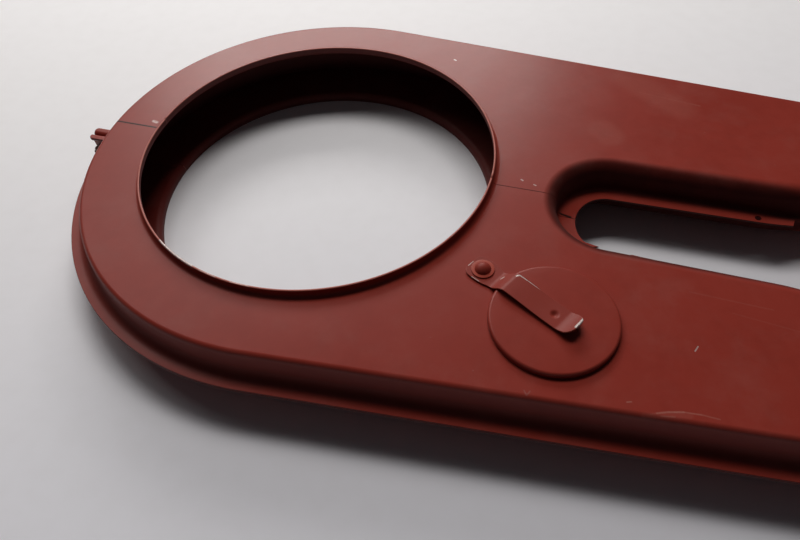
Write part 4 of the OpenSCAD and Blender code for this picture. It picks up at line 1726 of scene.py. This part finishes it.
@dataclass
class ClampEar:
    """Folded ear at the split: a tab on the seam flange and a face that hangs down.

    Attributes:
        half: Which half of the case it belongs to.
        start_x: Where the tab ends on the flange.
        face_x: Where the hanging face ends, just outside the flange.
        end_x: Its outer end.
        top_z: Height of the tab's upper face.
        low_z: Height of its lowest point.
        thickness: Its thickness.
        width: Width of the tab across the split; the solid's is 7, but the photo shows a smaller one.
        corner: Radius of the tab's corners.
        hole_r: Radius of the screw's hole.
    """

    half: Half
    start_x: float = -130.0
    face_x: float = -133.5
    end_x: float = -144.5
    top_z: float = 22.5
    low_z: float = 7.0
    thickness: float = 2.0
    width: float = 4.4
    corner: float = 1.8
    hole_r: float = 2.7

    @property
    def fold(self) -> float:
        """Outer radius of the fold."""
        return self.thickness + 0.5

    @property
    def flat(self) -> float:
        """Length of the tab's flat part across the split."""
        return self.width - PLAN.half_split - self.fold

    def _shape(self, x: float, run: float) -> tuple[Vector, Vector]:
        """Bends the flat blank: the run goes along the tab, round the fold and down the face."""
        fold, flat = self.fold, self.flat
        if run <= flat:
            return Vector((x, self.width - run, self.top_z)), UP
        turn = (run - flat) / fold
        if turn < math.pi / 2:
            normal = Vector((0, -math.sin(turn), math.cos(turn)))
            return Vector((x, PLAN.half_split + fold, self.top_z - fold)) + normal * fold, normal
        down = run - flat - fold * math.pi / 2
        return Vector((x, PLAN.half_split, self.top_z - fold - down)), Vector((0, -1, 0))

    def build(self, finishes: Sequence[Material]) -> None:
        """Makes the ear.

        Args:
            finishes: Its paint, and the paint of its worn rims.
        """
        fold, flat, corner = self.fold, self.flat, self.corner
        arc = fold * math.pi / 2
        full = flat + arc + self.top_z - fold - self.low_z
        near = flat + arc * 0.9
        blank = bow((self.end_x + corner, corner), corner, 180, 270, 5)
        blank += bow((self.start_x - corner, corner), corner, 270, 360, 5)
        blank += [(self.start_x, flat * 0.9), (self.start_x - 0.6, flat)]
        blank += bow((self.face_x + 1.2, near + 1.2), 1.2, 270, 180, 4)
        blank += [(self.face_x, run) for run in spread_between(near + 2, full - 2.5, 1.0)]
        blank += bow((self.face_x - 2, full - 2), 2.0, 0, 90, 5)
        blank += [(self.end_x + 4.4, full), (self.end_x + 2.8, full - 0.6), (self.end_x + 0.7, full - 2.8),
                  (self.end_x, full - 4.4)]
        blank += [(self.end_x, run) for run in spread_between(full - 5.5, corner + 1, 0.8)]
        run = flat + arc + self.top_z - fold - PLAN.screw_z
        hole = bow((PLAN.screw_x, run), self.hole_r, 0, 345, 23)
        sheet = Sheet(self.thickness)
        loops = [[Vector((x, y, 0)) for x, y in loop] for loop in (blank, hole)]
        sheet.fill(loops, spacing=0.8, shape=self._shape)
        name = self.half.name.lower()
        Piece(f"{name}_ear", f"{name}_clamp_ear").press(
            sheet, lambda spot: 0.3 if spot.z < self.top_z - 4 or spot.y > 3 else 0.2,
            Matrix.Diagonal((1, self.half.value, 1, 1)), finishes)


@dataclass
class ClampScrew:
    """Hexagon screw, washer and nut that draw the two ears together; Y grows from the head to the tail.

    Attributes:
        shank_r: Radius of the shank.
        flats: Width across flats.
        head_h: Height of the head.
        nut_h: Height of the nut.
        washer_t: Thickness of the washer.
        grip: Half the distance between the outer faces of the ears.
        tail: Length past the nut.
        pitch: Pitch of the thread.
        ridge: Size of its ridge, against the pitch.
        root: How far inside the shank's surface the ridge runs.
    """

    shank_r: float = 2.5
    flats: float = 8.0
    head_h: float = 3.5
    nut_h: float = 4.0
    washer_t: float = 1.0
    grip: float = 2.15
    tail: float = 2.0
    pitch: float = 0.8
    ridge: float = 0.42
    root: float = 0.22

    @property
    def place(self) -> Matrix:
        """Turns Z, along which the parts are made, to Y."""
        return Matrix.Translation((PLAN.screw_x, 0, PLAN.screw_z)) @ Matrix.Rotation(math.radians(-90), 4, "X")

    def _hexagon(self, low: float, high: float, bore: float) -> tuple[list[Vector], list[Ring]]:
        """Makes a hexagon with eased corners, and with a bore if it is a nut."""
        corner = self.flats / 2 / math.cos(math.radians(30))
        segments = 36

        def ring(radius: float, height: float, cut: float = math.inf) -> list[Vector]:
            spots = []
            for k in range(segments):
                turn = math.radians(360 * k / segments)
                off = (turn + math.pi / 6) % (math.pi / 3) - math.pi / 6
                spots.append(Vector((0, 0, height)) + polar(
                    min(radius, cut, self.flats / 2 / math.cos(math.pi / 6 - abs(off))), math.degrees(turn)))
            return spots

        flat, bevel, cut = self.flats / 2 - 0.25, 0.45, corner - 0.1
        levels = [ring(bore, low), ring(flat, low), ring(corner, low + bevel, cut),
                  ring(corner, high - bevel, cut), ring(flat, high), ring(bore, high)]
        points = [p for level in levels for p in level]
        faces = []
        count = len(levels)
        for i in range(count if bore > 0.1 else count - 1):
            for k in range(segments):
                after = (k + 1) % segments
                a, b = i * segments, (i + 1) % count * segments
                faces.append((a + k, b + k, b + after, a + after))
        return points, [tuple(reversed(f)) for f in faces]

    def thread_tree(self) -> bpy.types.NodeTree:
        """Builds the node tree of a thread: a triangle carried along a helix.

        Returns:
            The tree, with inputs for its sizes and its material.
        """
        shader, given = new_group(
            "screw_thread",
            [("Radius", "Float", 0.0025), ("Pitch", "Float", 0.0008), ("Length", "Float", 0.004),
             ("Start", "Float", 0.0), ("Finish", "Material", None)],
            [("Geometry", "Geometry")], "GeometryNodeTree")
        helix = shader.node("GeometryNodeCurveSpiral", {
            "Resolution": 28, "Start Radius": given["Radius"], "End Radius": given["Radius"],
            "Rotations": shader.math("DIVIDE", given["Length"], given["Pitch"]), "Height": given["Length"]})
        ridge = shader.node("GeometryNodeCurvePrimitiveCircle", {
            "Resolution": 3, "Radius": shader.times(given["Pitch"], self.ridge)})
        body = shader.node("GeometryNodeCurveToMesh", {
            "Curve": helix.outputs[0], "Profile Curve": ridge.outputs[0], "Fill Caps": True})
        shift = shader.node("CombineXYZ", {"Z": given["Start"]})
        moved = shader.node("GeometryNodeTransform", {"Geometry": body.outputs[0], "Translation": shift.outputs[0]})
        whole = shader.node("GeometryNodeRealizeInstances", {0: moved.outputs[0]})
        paint = shader.node("GeometryNodeSetMaterial", {"Geometry": whole.outputs[0], "Material": given["Finish"]})
        return shader.ended(paint.outputs[0])

    def _thread(self, finish: Material, start: float, length: float) -> bpy.types.Mesh:
        """Makes the thread on the screw's tail as a mesh, along Z and in metres."""
        tree = self.thread_tree()
        holder = bpy.data.objects.new("thread_holder", bpy.data.meshes.new("thread_holder"))
        bpy.context.scene.collection.objects.link(holder)
        modifier = holder.modifiers.new("thread", "NODES")
        modifier.node_group = tree
        values = {"Radius": (self.shank_r - self.root) * MM, "Pitch": self.pitch * MM, "Length": length * MM,
                  "Start": start * MM, "Finish": finish}
        for item in tree.interface.items_tree:
            if item.item_type == "SOCKET" and item.in_out == "INPUT":
                modifier[item.identifier] = values[item.name]
        evaluated = holder.evaluated_get(bpy.context.evaluated_depsgraph_get())
        mesh = bpy.data.meshes.new_from_object(evaluated)
        holder.modifiers.remove(modifier)
        bpy.data.objects.remove(holder)
        return mesh

    def build(self, finish: Material) -> None:
        """Makes the screw, its washer and the nut.

        Args:
            finish: Their metal.
        """
        head_low = -self.grip - self.washer_t - self.head_h
        tail_end = self.grip + self.nut_h + self.tail
        points, faces = self._hexagon(head_low, head_low + self.head_h, 0.02)
        shank_points, shank_faces = revolved(
            [(0.0, tail_end), (self.shank_r - 0.6, tail_end), (self.shank_r - 0.3, tail_end - 0.3),
             (self.shank_r - 0.3, head_low + self.head_h - 0.1), (0.0, head_low + self.head_h - 0.1)], 32, False)
        shift = len(points)
        points = points + shank_points
        faces = faces + [tuple(c + shift for c in reversed(f)) for f in shank_faces]
        thread = self._thread(finish, self.grip + 0.3, tail_end - self.grip - 0.9)
        shift = len(points)
        points += [v.co / MM for v in thread.vertices]
        faces += [tuple(c + shift for c in p.vertices) for p in thread.polygons]
        bpy.data.meshes.remove(thread)
        nut = self._hexagon(self.grip, self.grip + self.nut_h, self.shank_r + 0.02)
        ring = revolved(washer_profile(self.flats / 2 + 0.2, self.shank_r + 0.05, -self.grip - self.washer_t,
                                       -self.grip, 0.15), 48, True)
        for name, node, made, crease in (("hexagon_screw", "clamp_screw", (points, faces), 28),
                                         ("hexagon_nut", "clamp_nut", nut, 28),
                                         ("screw_ring", "clamp_washer", ring, 50)):
            Piece(name, node, "bare_steel").turn(made, self.place, finish, crease)


@dataclass
class WebTongue:
    """Strip with round ends that bridges the split under the web.

    Attributes:
        face: Which face of the case it lies behind.
        outer_z: Height of the side that touches the case.
        start_x: Where it starts.
        end_x: Where it ends.
        half_length: Half its length across the split.
        thickness: Its thickness.
        bulge: How far its rim is rounded.
    """

    face: Face
    outer_z: float
    start_x: float = 98.4
    end_x: float = 117.5
    half_length: float = 13.0
    thickness: float = 1.5
    bulge: float = 0.2

    def build(self, finishes: Sequence[Material]) -> None:
        """Makes the strip.

        Args:
            finishes: Its paint, and the paint of its rims.
        """
        radius = (self.end_x - self.start_x) / 2
        middle = (self.end_x + self.start_x) / 2
        outline = bow((middle, self.half_length - radius), radius - self.bulge, 0, 180, 20)
        outline += bow((middle, radius - self.half_length), radius - self.bulge, 180, 360, 20)
        sheet = Sheet(self.thickness)
        sheet.fill([[Vector((x, y, 0)) for x, y in outline]], spacing=3.0, shape=Sheet.level(0.0))
        place = Matrix.Translation((0, 0, self.outer_z)) @ Matrix.Diagonal((1, 1, self.face.value, 1))
        name = self.face.name.lower()
        Piece(f"{name}_strip", f"{name}_web_tongue").press(sheet, lambda spot: self.bulge, place, finishes)


@dataclass
class MountPad:
    """Pad round a mounting hole, inside the rear face.

    Attributes:
        half: Which half of the case it belongs to.
        radius: Outer radius.
        low_z: Height of its lower face.
        thickness: Its thickness.
    """

    half: Half
    radius: float = 9.0
    low_z: float = 5.0
    thickness: float = 1.5

    def build(self, finish: Material) -> None:
        """Makes the pad.

        Args:
            finish: Its paint.
        """
        loop = washer_profile(self.radius, PLAN.mount_r, self.low_z, self.low_z + self.thickness, 0.3)
        place = Matrix.Translation((PLAN.mount_x, PLAN.mount_y * self.half.value, 0))
        name = self.half.name.lower()
        Piece(f"{name}_pad", f"{name}_mount_pad").turn(revolved(loop, 56, True), place, finish, 50)


# ---- stage

LAMP_COLOUR = (1.0, 0.98, 0.95)
SKY_COLOUR = (0.93, 0.95, 1.0, 1.0)
SENSOR_WIDTH = 36.0
TABLE_BUMP = 0.00008


@dataclass(frozen=True)
class SoftLamp:
    """A large soft lamp behind the case.

    Attributes:
        name: Its name.
        turn: Direction to the left of the Y axis, in degrees.
        rise: Height above the table, in degrees.
        distance: Distance from the case, in metres.
        width: Its width, in metres.
        height: Its height, in metres.
        brightness: How bright its face is.
        mirrored: Whether glossy paint shows it as a sheen.
    """

    name: str
    turn: float
    rise: float
    distance: float
    width: float
    height: float
    brightness: float
    mirrored: bool = True

    def build(self, centre: Vector) -> None:
        """Makes the lamp.

        Args:
            centre: Point that it is aimed at.
        """
        turn, rise = math.radians(self.turn), math.radians(self.rise)
        way = Vector((-math.sin(turn) * math.cos(rise), math.cos(turn) * math.cos(rise), math.sin(rise)))
        lamp = bpy.data.lights.new(self.name, "AREA")
        lamp.shape = "RECTANGLE"
        lamp.size, lamp.size_y = self.width, self.height
        lamp.energy = self.brightness * math.pi * self.width * self.height
        lamp.color = LAMP_COLOUR
        holder = bpy.data.objects.new(self.name, lamp)
        holder.location = centre + way * self.distance
        holder.rotation_euler = way.to_track_quat("Z", "Y").to_euler()
        holder.visible_glossy = self.mirrored
        bpy.context.scene.collection.objects.link(holder)


@dataclass
class Studio:
    """Pale table, window light and camera.

    Attributes:
        floor_size: Length of the table's side, in metres.
        target: Point in the middle of the picture, in millimetres.
        distance: Distance of the camera from it, in millimetres.
        azimuth: Direction of the camera round the case, in degrees.
        elevation: Its height above the table, in degrees.
        roll: Turn of the picture, in degrees.
        lens: Focal length, in millimetres.
        centre: Point that the lamps are aimed at, in metres.
        lamps: The lamps.
        sky: Strength of the light from all round.
    """

    floor_size: float = 6.0
    target: tuple[float, float, float] = (64.86, -67.16, 39.0)
    distance: float = 288.05
    azimuth: float = 19.5
    elevation: float = 51.5
    roll: float = -4.1
    lens: float = 29.25
    centre: tuple[float, float, float] = (0.13, 0.0, 0.03)
    lamps: tuple[SoftLamp, ...] = (
        SoftLamp("window", 27.0, 29.0, 1.3, 0.88, 0.36, 7.9),
        SoftLamp("ceiling", 24.0, 61.0, 1.5, 0.9, 0.42, 9.0, False),
        SoftLamp("side", 60.0, 42.0, 1.6, 1.0, 0.7, 1.6),
    )
    sky: float = 0.025

    def build(self, effects: Effects) -> None:
        """Makes the table, the lights and the camera.

        Args:
            effects: The shared node groups.
        """
        self._table(effects)
        self._lights()
        self._camera()

    def _table(self, effects: Effects) -> None:
        """Makes the pale table, with painted shade that makes it a little darker towards the near side and the right.
        """
        half = self.floor_size / 2
        mesh = bpy.data.meshes.new("table")
        mesh.from_pydata([(-half, -half, 0), (half, -half, 0), (half, half, 0), (-half, half, 0)], [], [(0, 1, 2, 3)])
        shader = Surface("pale_table")
        parts = shader.node("SeparateXYZ", {0: shader.place})
        away = shader.plus(shader.times(parts.outputs[0], -0.45), shader.times(parts.outputs[1], 0.9))
        fleck = shader.noise(shader.place, scale=90.0, detail=5.0)
        # painted shade: the table is darker towards the near side and the right; the flecks are its own
        shaded_tint = shader.blend(shader.ramp(away, -0.34, 0.2), srgb(236, 235, 243), srgb(240, 238, 240))
        shaded_tint = shader.blend(shader.ramp(fleck, 0.35, 0.75, 0.0, 0.05), shaded_tint, srgb(200, 196, 194))
        mesh.materials.append(shader.finished(shaded_tint, 0.7, shader.times(fleck, TABLE_BUMP)))
        table = bpy.data.objects.new("table", mesh)
        bpy.context.scene.collection.objects.link(table)

    def _lights(self) -> None:
        """Makes the lamps and the light from all round."""
        for lamp in self.lamps:
            lamp.build(Vector(self.centre))
        world = bpy.data.worlds.new("room")
        world.use_nodes = True
        sky = world.node_tree.nodes["Background"]
        sky.inputs["Color"].default_value = SKY_COLOUR
        sky.inputs["Strength"].default_value = self.sky
        bpy.context.scene.world = world

    def _camera(self) -> None:
        """Makes the camera of the photograph's view."""
        turn, rise, roll = (math.radians(v) for v in (self.azimuth, self.elevation, self.roll))
        back = Vector((math.sin(turn) * math.cos(rise), -math.cos(turn) * math.cos(rise), math.sin(rise)))
        right = Vector((math.cos(turn), math.sin(turn), 0.0))
        up = back.cross(right)
        level, tilt = math.cos(roll), math.sin(roll)
        right, up = right * level + up * tilt, up * level - right * tilt
        camera = bpy.data.cameras.new("camera")
        camera.lens, camera.sensor_width = self.lens, SENSOR_WIDTH
        camera.clip_start = 0.01
        holder = bpy.data.objects.new("camera", camera)
        holder.matrix_world = Matrix.Translation((Vector(self.target) + back * self.distance) * MM) @ \
            Matrix((right, up, back)).transposed().to_4x4()
        bpy.context.scene.collection.objects.link(holder)
        bpy.context.scene.camera = holder


@dataclass
class ChainCase:
    """The whole case with its finishes.

    Attributes:
        effects: The shared node groups.
        coat: Paint of the pressings.
        rim: Paint of their worn rims.
        inner: Darker paint for the case's inner faces and the parts inside it.
        lid_coat: Paint of the lid.
        clip_coat: Paint of the clip and its rivet.
        clip_rim: Paint of the clip's chipped edges.
        ring: Worn paint of the rivet's washer, made lighter than the clip's as a painted highlight.
        plating: Plating of the clamp's screw.
    """

    effects: Effects = field(default_factory=Effects)
    coat: Paint = Paint("case_paint", srgb(138, 49, 39), roughness=0.36, edge_wear=1.0, marks=CASE_MARKS,
                        grime_and_shade=0.8)
    rim: Paint = Paint("case_rim", srgb(92, 28, 24), roughness=0.42, edge_wear=1.0, all_over=0.04, waves=0.0, dust=0.02,
                       marks=CASE_MARKS, lip_highlight=0.9)
    lid_coat: Paint = Paint("lid_paint", srgb(138, 50, 40), roughness=0.36, dust=0.03)
    clip_coat: Paint = Paint("clip_paint", srgb(134, 49, 39), roughness=0.5, all_over=0.05, dust=0.02, waves=0.2,
                             marks=CLIP_MARKS)
    clip_rim: Paint = Paint("clip_edge", srgb(146, 66, 54), roughness=0.4, all_over=0.3, dust=0.0, waves=0.0,
                            marks=CLIP_MARKS)
    inner: Paint = Paint("inner_paint", srgb(96, 32, 27), roughness=0.6, all_over=0.05, dust=0.05)
    # worn paint, lighter than the clip's as a painted highlight on the washer
    ring: Paint = Paint("ring_paint", srgb(158, 68, 54), roughness=0.34, all_over=0.22, dust=0.0, waves=0.0)
    plating: Metal = Metal("clamp_steel", STEEL, roughness=0.5, grime_and_shade=0.75)

    def build(self) -> None:
        """Builds every piece in order."""
        coat, rim, inner, lid_coat, clip_coat, clip_rim, ring, plating = (
            finish.build(self.effects) for finish in
            (self.coat, self.rim, self.inner, self.lid_coat, self.clip_coat, self.clip_rim, self.ring, self.plating))
        for half in Half:
            for face in Face:
                Pressing(half, face).build([coat, rim, inner])
            ClampEar(half).build([coat, rim, coat])
            MountPad(half).build(inner)
        InspectionLid().build(lid_coat)
        SpringClip().build([clip_coat, clip_rim, clip_coat])
        Rivet().build(clip_coat, ring, inner)
        ClampScrew().build(plating)
        inside_front = PLAN.front_z - PLAN.sheet
        WebTongue(Face.FRONT, inside_front).build([inner, inner, inner])
        WebTongue(Face.REAR, PLAN.lip_h + PLAN.sheet).build([inner, inner, inner])


def main() -> None:
    """Builds the scene."""
    logging.basicConfig(level=logging.INFO, format="%(message)s")
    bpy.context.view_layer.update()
    scene = bpy.context.scene
    scene.view_settings.view_transform = "Standard"
    case = ChainCase()
    case.build()
    Studio().build(case.effects)


if __name__ == "__main__":
    main()
